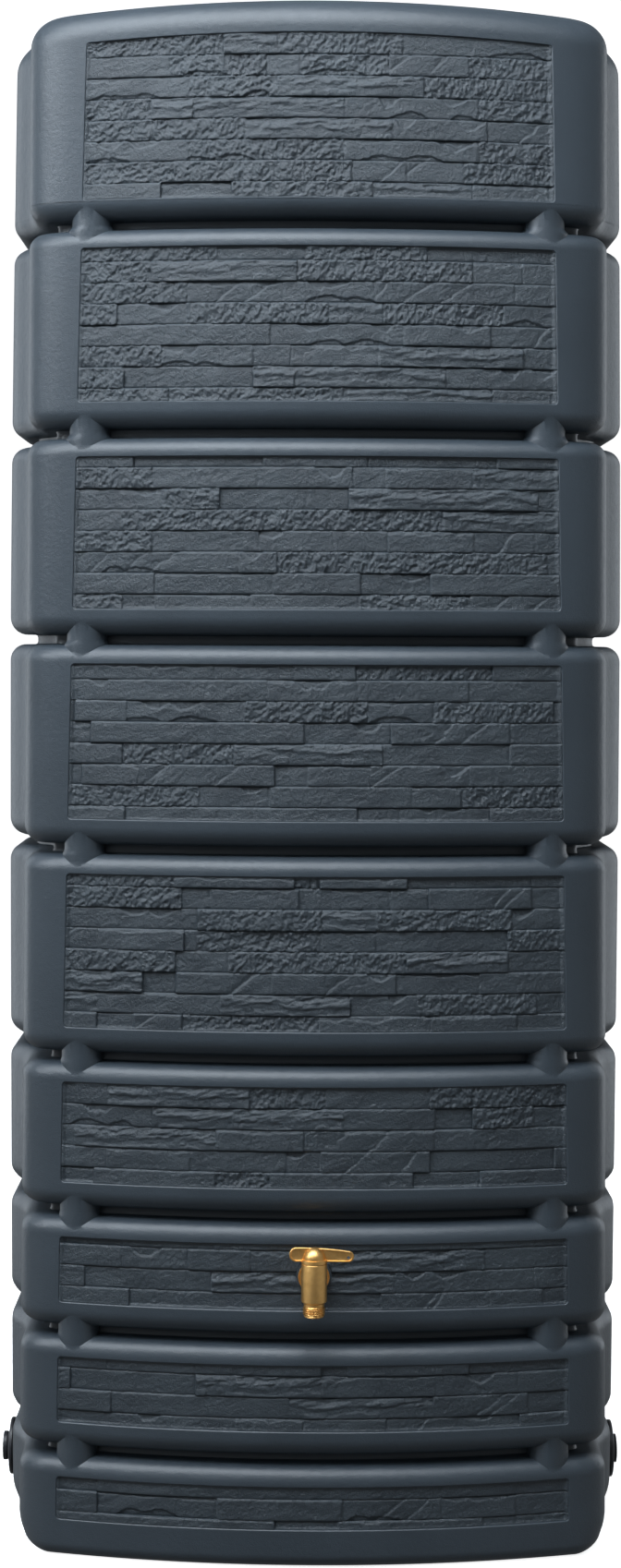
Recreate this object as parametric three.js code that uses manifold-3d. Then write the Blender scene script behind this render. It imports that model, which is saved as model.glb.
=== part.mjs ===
// Slim wall-standing rain barrel: a blow-moulded tank of nine stacked segments with a brass barrel
// tap on the front, a blanked connection low on each side, a round lid and two wall brackets.
// Millimetres, +Z up. The origin is the centre of the base, the front faces -Y, the wall is at +Y.
import * as THREE from 'three';
import { mergeVertices } from 'three/addons/utils/BufferGeometryUtils.js';
import Module from 'manifold-3d';

// ---------------------------------------------------------------- driving dimensions
const HEIGHT = 1880;
const FRONT_Y = -200;
const BACK_Y = 200;
const WALL = 4;
const GAP = 0.3;

// Plan of the tank: a bowed front part, and a wider rear part that it flares into.
const FRONT_BOW_RADIUS = 1200;
const SIDE_X_BASE = 358;
const SIDE_X_TOP = 352;
const CORNER_MARGIN = 8;
const CORNER_LEG = 31;
const FLARE_START_Y = -60;
const FLARE_END_Y = 25;
const REAR_X = 388.5;
const REAR_PULL_BASE = 9;
const REAR_PULL_TOP = 5.5;
const WIDEST_Z = 1150;
const REAR_CORNER_Y = 140;

// Grooves between the segments, and the rounded edges of the segments.
const GROOVES_Z = [126, 271, 416, 603, 854.5, 1108, 1357.5, 1609];
const GROOVE_GAP = 12;
const GROOVE_DEPTH = 35;
const TOP_EDGE_RADIUS = 20;
const LOW_EDGE_RADIUS = 22;
const BASE_RADIUS = 17;
const BASE_PULL = 18;
const BASE_PULL_Z = 48;
const TOP_RADIUS = 38;
const CROWN = 9;
const CROWN_X = 281;
const CROWN_START_Z = 1812;
const CROWN_FULL_Z = 1842;

// The recessed stone-relief panel on the front of each segment.
const PANEL_HALF_BASE = 310;
const PANEL_HALF_LOSS = 31;
const PANEL_TAPER_POWER = 1.4;
const PANEL_DEPTH = 6;
const PANEL_TOP_MARGIN = 23;
const PANEL_BOTTOM_MARGIN = 31;
const TOP_PANEL_MARGIN = 45;
const TOP_PANEL_LOW_MARGIN = 23;
const BASE_PANEL_MARGIN = 46;

// Half-round ribs that bridge each groove near its ends.
const RIB_RADIUS = 24.4;
const RIB_SETBACK = 26.4;
const RIB_X_BASE = 287;
const RIB_X_TOP = 272;
const RIB_REACH = 22;

// Lid well, filler neck and lid.
const LID_Y = 5;
const WELL_RADIUS = 124;
const WELL_FLOOR_Z = 1862;
const NECK_OUTER_R = 100;
const NECK_TOP_Z = 1884;
const LID_SKIRT_R = 110;
const LID_TOP_Z = 1892;

// Tap: its shank runs along Y, its body and lever stand on a vertical axis in front of the wall.
const TAP_Z = 350;
const TAP_Y = -245;
const TAP_BOSS_R = 21;
const TAP_BOSS_FACE_Y = -199;
const TAP_BOSS_BACK_Y = -183;
const INSERT_R = 17;
const SHANK_R = 13;
const FLANGE_R = 18.7;
const TAP_BODY_R = 15.2;
const TAP_BODY_BASE_Z = 330.6;
const TAP_BODY_TOP_Z = 375.7;
const SPOUT_TOP_Z = 325.9;
const SPOUT_END_Z = 313.2;
const SPOUT_R = 13;
const WATERWAY_R = 8;
const CHAMBER_R = 12;
const CHAMBER_FLOOR_Z = 335;
const STEM_R = 6;
const HUB_SHOULDER_Z = 380.8;
const DOME_R = 13.4;
const LEVER_THICKNESS = 4;

// Side connections low on the tank.
const PORT_Z = 67;
const PORT_Y = 66;
const PORT_PAD_X = 381.3;
const PORT_PAD_R = 37;
const PORT_FLANGE_R = 35.5;
const PORT_BARREL_R = 22;
const PORT_BORE_R = 13.5;

// Wall brackets at the top rear edge.
const BRACKET_X = 240;
const BRACKET_WIDTH = 40;
const BRACKET_SEAT_Z = 1869.5;
const BRACKET_THICKNESS = 3;
const BRACKET_FRONT_Y = 118;
const BRACKET_HEIGHT = 45;
const BRACKET_SCREW_Y = 138;
const BRACKET_WALL_HOLE_Z = 1899;
const SCREW_R = 3;

const wasm = await Module();
wasm.setup();

// ---------------------------------------------------------------- materials
const tankPlastic = new THREE.MeshStandardMaterial({ color: 0x46525c, roughness: 0.45, metalness: 0 });
const lidPlastic = new THREE.MeshStandardMaterial({ color: 0x3c464f, roughness: 0.5, metalness: 0 });
const brass = new THREE.MeshStandardMaterial({ color: 0xc59a45, roughness: 0.32, metalness: 1 });
const blackPlastic = new THREE.MeshStandardMaterial({ color: 0x1c1e22, roughness: 0.5, metalness: 0 });
const rubber = new THREE.MeshStandardMaterial({ color: 0x111213, roughness: 0.85, metalness: 0 });
const zincSteel = new THREE.MeshStandardMaterial({ color: 0xa9adb0, roughness: 0.4, metalness: 1 });

// ---------------------------------------------------------------- solids
// A closed mesh with shared vertices, and no triangle that has shrunk to a line.
function welded(geometry) {
  const bare = geometry.clone();
  bare.deleteAttribute('normal');
  bare.deleteAttribute('uv');
  const merged = mergeVertices(bare, 1e-4);
  const corners = merged.index.array;
  const kept = [];
  for (let i = 0; i < corners.length; i += 3) {
    const [a, b, c] = corners.slice(i, i + 3);
    if (a !== b && b !== c && c !== a) kept.push(a, b, c);
  }
  merged.setIndex(kept);
  return merged;
}

function solid(geometry) {
  const closed = welded(geometry);
  const vertProperties = Float32Array.from(closed.attributes.position.array);
  const triVerts = Uint32Array.from(closed.index.array);
  return new wasm.Manifold(new wasm.Mesh({ numProp: 3, vertProperties, triVerts }));
}

function geometryOf(manifold) {
  const mesh = manifold.getMesh();
  const geometry = new THREE.BufferGeometry();
  geometry.setAttribute('position', new THREE.BufferAttribute(mesh.vertProperties, 3));
  geometry.setIndex(new THREE.BufferAttribute(mesh.triVerts, 1));
  geometry.computeVertexNormals();
  return geometry;
}

// A turned solid from [radius, distance along the axis] pairs, first along +Y.
function turned(profile, segments = 24) {
  const points = profile.map(([r, along]) => new THREE.Vector2(r, along));
  return new THREE.LatheGeometry(points, segments);
}

function turnedZ(profile, segments) {
  return turned(profile, segments).rotateX(Math.PI / 2);
}

// Turned about the X axis: side 1 points along +X, side -1 along -X.
function turnedX(profile, side, segments) {
  return turned(profile, segments).rotateZ((-side * Math.PI) / 2);
}

// Profile of a plain ring, closed on itself, and of a plain disc that ends on the axis.
function ringProfile(inner, outer, low, high) {
  return [[inner, low], [outer, low], [outer, high], [inner, high], [inner, low]];
}

function discProfile(radius, low, high) {
  return [[0, low], [radius, low], [radius, high], [0, high]];
}

function block(x0, x1, y0, y1, z0, z1) {
  const box = new THREE.BoxGeometry(x1 - x0, y1 - y0, z1 - z0);
  return box.translate((x0 + x1) / 2, (y0 + y1) / 2, (z0 + z1) / 2);
}

// ---------------------------------------------------------------- tank surface
function smoothstep(value, low, high) {
  return THREE.MathUtils.smoothstep(value, low, high);
}

// How far the sides have drawn in towards the base, at height z.
function basePull(z) {
  return BASE_PULL * (Math.max(0, BASE_PULL_Z - z) / BASE_PULL_Z) ** 2;
}

function sideX(z) {
  return THREE.MathUtils.lerp(SIDE_X_BASE, SIDE_X_TOP, z / HEIGHT) - basePull(z);
}

function panelHalf(z) {
  return PANEL_HALF_BASE - PANEL_HALF_LOSS * (Math.max(0, z) / HEIGHT) ** PANEL_TAPER_POWER;
}

function rearX(z) {
  const below = Math.max(0, WIDEST_Z - z) / WIDEST_Z;
  const above = Math.max(0, z - WIDEST_Z) / (HEIGHT - WIDEST_Z);
  return REAR_X - REAR_PULL_BASE * below ** 1.5 - REAR_PULL_TOP * above ** 1.5 - basePull(z);
}

// Distance of the bowed front behind its apex, at x.
function bow(x, inset = 0) {
  const radius = FRONT_BOW_RADIUS - inset;
  return radius - Math.sqrt(radius * radius - x * x);
}

// How far the crowned top has dropped at x. Only the upper part of the top segment is crowned.
function crownDrop(x, z) {
  return CROWN * (x / CROWN_X) ** 2 * smoothstep(z, CROWN_START_Z, CROWN_FULL_Z);
}

// The right half of the tank's plan at height z, from the front centre to the back, set in by inset.
// The flare is drawn in the given number of steps, and the corners in two.
function halfOutline(z, inset, flareSteps) {
  const side = sideX(z) - inset;
  const rear = rearX(z) - inset;
  const back = BACK_Y - inset;
  const cornerX = Math.min(panelHalf(z) + CORNER_MARGIN, side - 10);
  const front = (x) => new THREE.Vector2(x, FRONT_Y + inset + bow(x, inset));
  const cornerStart = front(cornerX);
  const slope = cornerX / (FRONT_BOW_RADIUS - inset - bow(cornerX, inset));
  const cornerTip = new THREE.Vector2(side, cornerStart.y + slope * (side - cornerX));
  const cornerEnd = new THREE.Vector2(side, cornerTip.y + Math.max(10, CORNER_LEG - 0.6 * inset));
  const corner = new THREE.QuadraticBezierCurve(cornerStart, cornerTip, cornerEnd);
  const flareLength = FLARE_END_Y - FLARE_START_Y;
  const flare = new THREE.CubicBezierCurve(
    new THREE.Vector2(side, FLARE_START_Y),
    new THREE.Vector2(side, FLARE_START_Y + 0.45 * flareLength),
    new THREE.Vector2(rear, FLARE_END_Y - 0.45 * flareLength),
    new THREE.Vector2(rear, FLARE_END_Y),
  );
  const rearRadius = Math.max(12, BACK_Y - REAR_CORNER_Y - inset);
  const rearCorner = new THREE.QuadraticBezierCurve(
    new THREE.Vector2(rear, back - rearRadius),
    new THREE.Vector2(rear, back),
    new THREE.Vector2(rear - rearRadius, back),
  );
  return [
    front(0),
    front(cornerX / 3),
    front((2 * cornerX) / 3),
    ...corner.getPoints(2),
    ...flare.getPoints(flareSteps),
    ...rearCorner.getPoints(2),
  ];
}

// The whole plan as a ring of points in space, anticlockwise from above.
function ring(z, inset, flareSteps) {
  const half = halfOutline(z, inset, flareSteps);
  const mirrored = half.slice(1).reverse().map((p) => new THREE.Vector2(-p.x, p.y));
  return [...half, ...mirrored].map((p) => new THREE.Vector3(p.x, p.y, z - crownDrop(p.x, z)));
}

// Rows of [height, inset] on a rounded edge whose arc has its centre at (centreZ, centreInset).
function edgeRows(centreZ, centreInset, radius, fromDegrees, toDegrees, steps) {
  const rows = [];
  for (let i = 0; i <= steps; i += 1) {
    const angle = THREE.MathUtils.degToRad(fromDegrees + ((toDegrees - fromDegrees) * i) / steps);
    rows.push([centreZ + radius * Math.sin(angle), centreInset - radius * Math.cos(angle)]);
  }
  return rows;
}

// The tank's vertical profile, moved inwards by offset: 0 for the outside, the wall for the inside.
function tankRows(offset, steps) {
  const topEdge = TOP_EDGE_RADIUS - offset;
  const lowEdge = LOW_EDGE_RADIUS - offset;
  const rows = edgeRows(BASE_RADIUS, BASE_RADIUS, BASE_RADIUS - offset, -90, 0, steps + 1);
  rows.push([34, offset]);
  for (const z of GROOVES_Z) {
    const low = z - GROOVE_GAP / 2;
    const high = z + GROOVE_GAP / 2;
    rows.push(...edgeRows(low - TOP_EDGE_RADIUS, TOP_EDGE_RADIUS, topEdge, 0, 90, steps));
    rows.push([low - offset, GROOVE_DEPTH + offset]);
    rows.push([high + offset, GROOVE_DEPTH + offset]);
    rows.push(...edgeRows(high + LOW_EDGE_RADIUS, LOW_EDGE_RADIUS, lowEdge, -90, 0, steps));
  }
  rows.push(...edgeRows(HEIGHT - TOP_RADIUS, TOP_RADIUS, TOP_RADIUS - offset, 0, 90, steps + 1));
  return rows;
}

// A closed skin over the rows, with a flat base and a top that follows the crown.
function loft(rows, flareSteps) {
  const rings = rows.map(([z, inset]) => ring(z, inset, flareSteps));
  const topRing = rings[rings.length - 1];
  const topZ = rows[rows.length - 1][0];
  for (const scale of [0.67, 0.33]) {
    rings.push(topRing.map((p) => {
      const x = p.x * scale;
      return new THREE.Vector3(x, p.y * scale, topZ - crownDrop(x, topZ));
    }));
  }
  const count = topRing.length;
  const points = rings.flat();
  const index = [];
  for (let row = 0; row + 1 < rings.length; row += 1) {
    for (let i = 0; i < count; i += 1) {
      const a = row * count + i;
      const b = row * count + ((i + 1) % count);
      index.push(a, b, b + count, a, b + count, a + count);
    }
  }
  const baseCentre = points.push(new THREE.Vector3(0, 0, rows[0][0])) - 1;
  const topCentre = points.push(new THREE.Vector3(0, 0, topZ)) - 1;
  const topStart = (rings.length - 1) * count;
  for (let i = 0; i < count; i += 1) {
    const next = (i + 1) % count;
    index.push(baseCentre, next, i);
    index.push(topCentre, topStart + i, topStart + next);
  }
  const geometry = new THREE.BufferGeometry().setFromPoints(points);
  geometry.setIndex(index);
  return geometry;
}

// A slab that follows the front's bow, from in front of the face to depth behind it. The panels'
// recesses are cut with it.
function frontSlab(lowZ, highZ, depth, grow) {
  const middle = (lowZ + highZ) / 2;
  const half = panelHalf(middle);
  const inFront = 12;
  const steps = 6;
  const plan = [];
  for (let i = 0; i <= steps; i += 1) {
    const x = half * ((2 * i) / steps - 1);
    plan.push(new THREE.Vector2(x, FRONT_Y - inFront + bow(x)));
  }
  for (let i = steps; i >= 0; i -= 1) {
    const x = half * ((2 * i) / steps - 1);
    plan.push(new THREE.Vector2(x, FRONT_Y + depth + bow(x)));
  }
  const slab = new THREE.ExtrudeGeometry(new THREE.Shape(plan), {
    depth: highZ - lowZ + 2 * grow,
    steps: 1,
    bevelEnabled: false,
  });
  slab.translate(0, 0, lowZ - grow);
  const position = slab.attributes.position;
  for (let i = 0; i < position.count; i += 1) {
    const z = position.getZ(i);
    const x = position.getX(i) * ((panelHalf(z) + grow) / half);
    position.setX(i, x);
    position.setZ(i, z - crownDrop(x, z));
  }
  return slab;
}

function panelSpans() {
  const spans = [];
  for (let i = 0; i <= GROOVES_Z.length; i += 1) {
    const first = i === 0;
    const last = i === GROOVES_Z.length;
    const margin = last ? TOP_PANEL_LOW_MARGIN : PANEL_BOTTOM_MARGIN;
    const low = first ? BASE_PANEL_MARGIN : GROOVES_Z[i - 1] + GROOVE_GAP / 2 + margin;
    const high = last ? HEIGHT - TOP_PANEL_MARGIN : GROOVES_Z[i] - GROOVE_GAP / 2 - PANEL_TOP_MARGIN;
    spans.push([low, high]);
  }
  return spans;
}

function ribPosts(radius, sides) {
  const posts = [];
  for (const z of GROOVES_Z) {
    const x = THREE.MathUtils.lerp(RIB_X_BASE, RIB_X_TOP, z / HEIGHT);
    const y = FRONT_Y + bow(x) + RIB_SETBACK;
    for (const side of [-1, 1]) {
      const post = turnedZ(discProfile(radius, z - RIB_REACH, z + RIB_REACH), sides);
      posts.push(solid(post.translate(side * x, y, 0)));
    }
  }
  return posts;
}

function sideDisc(radius, side, fromX, toX, segments = 28) {
  const disc = turnedX(discProfile(radius, fromX, toX), side, segments);
  return disc.translate(0, PORT_Y, PORT_Z);
}

function bracketSeat(side, grow, lowZ) {
  const x0 = BRACKET_X - BRACKET_WIDTH / 2 - 2 - grow;
  const x1 = BRACKET_X + BRACKET_WIDTH / 2 + 2 + grow;
  const y0 = BRACKET_FRONT_Y - 2 - grow;
  const box = block(x0, x1, y0, BACK_Y + 20, lowZ, HEIGHT + 20);
  return box.translate(side > 0 ? 0 : -2 * BRACKET_X, 0, 0);
}

function tankShell() {
  let outer = solid(loft(tankRows(0, 2), 3));
  let inner = solid(loft(tankRows(WALL, 1), 2));
  for (const [low, high] of panelSpans()) {
    outer = outer.subtract(solid(frontSlab(low, high, PANEL_DEPTH, 0)));
    inner = inner.subtract(solid(frontSlab(low, high, PANEL_DEPTH + WALL, WALL)));
  }
  for (const post of ribPosts(RIB_RADIUS, 12)) outer = outer.add(post);
  for (const post of ribPosts(RIB_RADIUS - WALL, 6)) inner = inner.add(post);

  const well = turnedZ(discProfile(WELL_RADIUS, WELL_FLOOR_Z, HEIGHT + 20), 32);
  const wellWall = turnedZ(discProfile(WELL_RADIUS + WALL, WELL_FLOOR_Z - WALL, HEIGHT + 20), 24);
  outer = outer.subtract(solid(well.translate(0, LID_Y, 0)));
  inner = inner.subtract(solid(wellWall.translate(0, LID_Y, 0)));
  for (const side of [-1, 1]) {
    outer = outer.subtract(solid(bracketSeat(side, 0, BRACKET_SEAT_Z)));
    inner = inner.subtract(solid(bracketSeat(side, WALL, BRACKET_SEAT_Z - 2 * WALL)));
  }

  const neck = turnedZ(discProfile(NECK_OUTER_R, WELL_FLOOR_Z - WALL, NECK_TOP_Z), 32);
  const mouth = turnedZ(discProfile(NECK_OUTER_R - WALL, WELL_FLOOR_Z - 3 * WALL, HEIGHT + 20), 32);
  let shell = outer.subtract(inner);
  shell = shell.add(solid(neck.translate(0, LID_Y, 0)));
  shell = shell.subtract(solid(mouth.translate(0, LID_Y, 0)));

  const boss = turned(discProfile(TAP_BOSS_R, TAP_BOSS_FACE_Y, TAP_BOSS_BACK_Y), 24);
  const tapHole = turned(discProfile(INSERT_R, FRONT_Y - 20, TAP_BOSS_BACK_Y + 20), 24);
  shell = shell.add(solid(boss.translate(0, 0, TAP_Z)));
  shell = shell.subtract(solid(tapHole.translate(0, 0, TAP_Z)));
  for (const side of [-1, 1]) {
    shell = shell.add(solid(sideDisc(PORT_PAD_R, side, PORT_PAD_X - 2 * WALL, PORT_PAD_X)));
    const hole = sideDisc(PORT_BARREL_R + GAP, side, PORT_PAD_X - 40, PORT_PAD_X + 20);
    shell = shell.subtract(solid(hole));
    const pilot = turnedZ(discProfile(SCREW_R + GAP, BRACKET_SEAT_Z - 30, HEIGHT + 20), 12);
    shell = shell.subtract(solid(pilot.translate(side * BRACKET_X, BRACKET_SCREW_Y, 0)));
  }
  return geometryOf(shell);
}

// ---------------------------------------------------------------- lid
function lid() {
  const inner = LID_SKIRT_R - 3;
  const profile = [
    [0, LID_TOP_Z - 4],
    [NECK_OUTER_R - 10, LID_TOP_Z - 4],
    [NECK_OUTER_R - 10, NECK_TOP_Z + 0.2],
    [NECK_OUTER_R - 7.5, NECK_TOP_Z + 0.2],
    [NECK_OUTER_R - 7.5, LID_TOP_Z - 4],
    [inner, LID_TOP_Z - 4],
    [inner, WELL_FLOOR_Z + 4],
    [LID_SKIRT_R, WELL_FLOOR_Z + 4],
    [LID_SKIRT_R, LID_TOP_Z - 3],
    [LID_SKIRT_R - 3, LID_TOP_Z],
    [82, LID_TOP_Z],
    [78, LID_TOP_Z - 2.2],
    [0, LID_TOP_Z - 2.2],
  ];
  const grip = new THREE.CapsuleGeometry(7, 110, 4, 12).rotateZ(Math.PI / 2);
  const gripBar = solid(grip.translate(0, 0, LID_TOP_Z - 2.2));
  const underside = solid(block(-80, 80, -20, 20, LID_TOP_Z - 20, LID_TOP_Z - 3));
  const whole = solid(turnedZ(profile, 36)).add(gripBar.subtract(underside));
  return geometryOf(whole.translate([0, LID_Y, 0]));
}

function lidSeal() {
  const profile = ringProfile(NECK_OUTER_R - WALL, NECK_OUTER_R, NECK_TOP_Z + GAP, LID_TOP_Z - 4 - GAP);
  return turnedZ(profile, 32).translate(0, LID_Y, 0);
}

// ---------------------------------------------------------------- tap
// The threaded insert that the wall is moulded round, with a ring at each end to grip the plastic.
function tapInsert() {
  const profile = [
    [SHANK_R + GAP, TAP_BOSS_FACE_Y + 0.2],
    [INSERT_R - GAP, TAP_BOSS_FACE_Y + 0.2],
    [INSERT_R - GAP, TAP_BOSS_FACE_Y + 4],
    [INSERT_R - 1.5, TAP_BOSS_FACE_Y + 5],
    [INSERT_R - 1.5, TAP_BOSS_BACK_Y - 5],
    [INSERT_R - GAP, TAP_BOSS_BACK_Y - 4],
    [INSERT_R - GAP, TAP_BOSS_BACK_Y],
    [SHANK_R + GAP, TAP_BOSS_BACK_Y],
    [SHANK_R + GAP, TAP_BOSS_FACE_Y + 0.2],
  ];
  return turned(profile, 24).translate(0, 0, TAP_Z);
}

const TAP_SEAL_FRONT_Y = TAP_BOSS_FACE_Y - GAP - 2.4;
const FLANGE_BACK_Y = TAP_SEAL_FRONT_Y - GAP;

function tapFlangeSeal() {
  const profile = ringProfile(SHANK_R + GAP, FLANGE_R - 0.7, TAP_SEAL_FRONT_Y, TAP_BOSS_FACE_Y - GAP);
  return turned(profile, 24).translate(0, 0, TAP_Z);
}

function tapBody() {
  const shank = turned([
    [0, TAP_Y],
    [11.5, TAP_Y],
    [11.5, FLANGE_BACK_Y - 6],
    [FLANGE_R, FLANGE_BACK_Y - 4],
    [FLANGE_R, FLANGE_BACK_Y],
    [SHANK_R, FLANGE_BACK_Y],
    [SHANK_R, -177],
    [SHANK_R - 1, -176],
    [0, -176],
  ], 24).translate(0, 0, TAP_Z);
  const column = turnedZ([
    [0, SPOUT_END_Z],
    [SPOUT_R - 1, SPOUT_END_Z],
    [SPOUT_R, SPOUT_END_Z + 1],
    [SPOUT_R, SPOUT_TOP_Z],
    [TAP_BODY_R, TAP_BODY_BASE_Z],
    [TAP_BODY_R, TAP_BODY_TOP_Z - 1],
    [TAP_BODY_R - 1, TAP_BODY_TOP_Z],
    [0, TAP_BODY_TOP_Z],
  ], 28).translate(0, TAP_Y, 0);
  const chamber = turnedZ(discProfile(CHAMBER_R, CHAMBER_FLOOR_Z, TAP_BODY_TOP_Z + 5), 20);
  const outlet = turnedZ(discProfile(WATERWAY_R + 1, SPOUT_END_Z - 5, CHAMBER_FLOOR_Z + 2), 16);
  const inlet = turned(discProfile(WATERWAY_R, TAP_Y, -170), 16).translate(0, 0, TAP_Z);
  const body = solid(shank)
    .add(solid(column))
    .subtract(solid(chamber.translate(0, TAP_Y, 0)))
    .subtract(solid(outlet.translate(0, TAP_Y, 0)))
    .subtract(solid(inlet));
  return geometryOf(body);
}

const ROTOR_TOP_Z = 366;

// The turning plug. Its bore comes up from the spout and leaves at the side: at rest that side faces
// -X and the tap is shut, and a quarter turn brings it round to the tank.
function tapRotor() {
  const barrel = turnedZ([
    [0, CHAMBER_FLOOR_Z + GAP],
    [CHAMBER_R - GAP, CHAMBER_FLOOR_Z + GAP],
    [CHAMBER_R - GAP, ROTOR_TOP_Z],
    [STEM_R, ROTOR_TOP_Z],
    [STEM_R, TAP_BODY_TOP_Z + 8],
    [0, TAP_BODY_TOP_Z + 8],
  ], 20);
  const rise = turnedZ(discProfile(WATERWAY_R - 0.5, CHAMBER_FLOOR_Z - 5, TAP_Z + 4), 16);
  const sidePort = turnedX(discProfile(WATERWAY_R - 0.5, 0, 20), -1, 16).translate(0, 0, TAP_Z);
  const rotor = solid(barrel).subtract(solid(rise)).subtract(solid(sidePort));
  return geometryOf(rotor.translate([0, TAP_Y, 0]));
}

function tapStemSeal() {
  const profile = ringProfile(STEM_R + GAP, CHAMBER_R - GAP, ROTOR_TOP_Z + GAP, ROTOR_TOP_Z + 3.3);
  return turnedZ(profile, 20).translate(0, TAP_Y, 0);
}

function tapRetainer() {
  const profile = ringProfile(STEM_R + GAP, CHAMBER_R - GAP, ROTOR_TOP_Z + 3.6, TAP_BODY_TOP_Z);
  return turnedZ(profile, 20).translate(0, TAP_Y, 0);
}

// A hub as wide as the body with a dome on it, and an upright lever plate that is longer on its right,
// with a hole in the long end.
function tapLever() {
  const profile = [
    [0, TAP_BODY_TOP_Z + GAP],
    [TAP_BODY_R, TAP_BODY_TOP_Z + GAP],
    [TAP_BODY_R, HUB_SHOULDER_Z - 0.6],
    [TAP_BODY_R - 0.6, HUB_SHOULDER_Z],
  ];
  for (let degrees = 0; degrees < 90; degrees += 15) {
    const angle = THREE.MathUtils.degToRad(degrees);
    profile.push([DOME_R * Math.cos(angle), HUB_SHOULDER_Z + DOME_R * Math.sin(angle)]);
  }
  profile.push([0, HUB_SHOULDER_Z + DOME_R]);
  const hub = turnedZ(profile, 24);
  const plate = new THREE.Shape();
  plate.moveTo(-21, 377.5);
  plate.lineTo(40, 377.2);
  plate.absarc(40, 383.9, 6.7, -Math.PI / 2, Math.PI / 2 - 0.1, false);
  plate.lineTo(-18, 394.5);
  plate.absarc(-21, 386, 8.5, Math.PI / 2 - 0.1, (3 * Math.PI) / 2, false);
  const hole = new THREE.Path();
  hole.absarc(40.2, 382.6, 1.8, 0, 2 * Math.PI, true);
  plate.holes.push(hole);
  const blade = new THREE.ExtrudeGeometry(plate, {
    depth: LEVER_THICKNESS,
    bevelEnabled: false,
    curveSegments: 6,
  }).rotateX(Math.PI / 2).translate(0, LEVER_THICKNESS / 2, 0);
  const socket = turnedZ(discProfile(STEM_R + GAP, TAP_BODY_TOP_Z - 2, TAP_BODY_TOP_Z + 8.3), 16);
  const lever = solid(hub).add(solid(blade)).subtract(solid(socket));
  return geometryOf(lever.translate([0, TAP_Y, 0]));
}

// ---------------------------------------------------------------- side connections
function onPort(profile, side, segments) {
  const turnedPart = turnedX(profile, side, segments);
  return turnedPart.translate(side * PORT_PAD_X, PORT_Y, PORT_Z);
}

// Distances here run outwards from the tank's flat pad.
function portSeal(side) {
  return onPort(ringProfile(PORT_BARREL_R + GAP, PORT_FLANGE_R - 2, GAP, 1.5), side, 24);
}

function portFitting(side) {
  return onPort([
    [PORT_BORE_R, -24],
    [PORT_BARREL_R - 1, -24],
    [PORT_BARREL_R, -23],
    [PORT_BARREL_R, 1.8],
    [PORT_FLANGE_R, 1.8],
    [PORT_FLANGE_R, 5],
    [PORT_FLANGE_R - 1, 6],
    [20.5, 6],
    [19.5, 8.4],
    [PORT_BORE_R, 8.4],
    [PORT_BORE_R, -24],
  ], side, 28);
}

function portNut(side) {
  const outline = new THREE.Shape();
  const corner = 33;
  for (let i = 0; i < 6; i += 1) {
    const angle = (i * Math.PI) / 3;
    const place = [corner * Math.cos(angle), corner * Math.sin(angle)];
    if (i === 0) outline.moveTo(...place);
    else outline.lineTo(...place);
  }
  const bore = new THREE.Path();
  bore.absarc(0, 0, PORT_BARREL_R + GAP, 0, 2 * Math.PI, true);
  outline.holes.push(bore);
  const nut = new THREE.ExtrudeGeometry(outline, { depth: 8, bevelEnabled: false, curveSegments: 24 });
  nut.rotateY((side * Math.PI) / 2);
  const away = PORT_PAD_X - 2 * WALL - GAP - 8;
  return nut.translate(side * away, PORT_Y, PORT_Z);
}

function plugSeal(side) {
  return onPort(ringProfile(PORT_BORE_R - 0.2, 17.2, 8.4 + GAP, 9.9), side, 20);
}

// The blanking plug: a raised head with a hexagon socket. The low one has a thin head.
function portPlug(side, headHeight) {
  const seat = 10.2;
  const plug = onPort([
    [0, -18],
    [PORT_BORE_R - GAP - 1, -18],
    [PORT_BORE_R - GAP - 0.3, -17],
    [PORT_BORE_R - GAP - 0.3, seat],
    [17.6, seat],
    [18, seat + 0.4],
    [18, seat + headHeight - 0.8],
    [17.2, seat + headHeight],
    [0, seat + headHeight],
  ], side, 20);
  const socket = onPort(discProfile(6.9, seat - 7, seat + headHeight + 4), side, 6);
  return geometryOf(solid(plug).subtract(solid(socket)));
}

// ---------------------------------------------------------------- wall brackets
function bracket(side) {
  const x0 = BRACKET_X - BRACKET_WIDTH / 2;
  const x1 = BRACKET_X + BRACKET_WIDTH / 2;
  const low = BRACKET_SEAT_Z + GAP;
  const high = low + BRACKET_THICKNESS;
  const foot = block(x0, x1, BRACKET_FRONT_Y, BACK_Y, low, high);
  const upright = block(x0, x1, BACK_Y - BRACKET_THICKNESS, BACK_Y, low, low + BRACKET_HEIGHT);
  const screwHole = turnedZ(discProfile(SCREW_R + GAP, low - 5, high + 5), 12);
  const wallHole = turned(discProfile(3.5, BACK_Y - 10, BACK_Y + 10), 12);
  const plate = solid(foot)
    .add(solid(upright))
    .subtract(solid(screwHole.translate(BRACKET_X, BRACKET_SCREW_Y, 0)))
    .subtract(solid(wallHole.translate(BRACKET_X, 0, BRACKET_WALL_HOLE_Z)));
  return geometryOf(plate.translate([side > 0 ? 0 : -2 * BRACKET_X, 0, 0]));
}

function bracketScrew(side) {
  const seat = BRACKET_SEAT_Z + GAP + BRACKET_THICKNESS + GAP;
  const screw = turnedZ([
    [0, seat - 26],
    [0.6, seat - 26],
    [SCREW_R, seat - 21],
    [SCREW_R, seat],
    [6.2, seat],
    [6.2, seat + 1.4],
    [4.4, seat + 3.2],
    [0, seat + 3.8],
  ], 12);
  return screw.translate(side * BRACKET_X, BRACKET_SCREW_Y, 0);
}

// ---------------------------------------------------------------- assembly
const barrel = new THREE.Group();

function addPart(name, geometry, material) {
  const mesh = new THREE.Mesh(welded(geometry), material);
  mesh.name = name;
  barrel.add(mesh);
}

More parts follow.
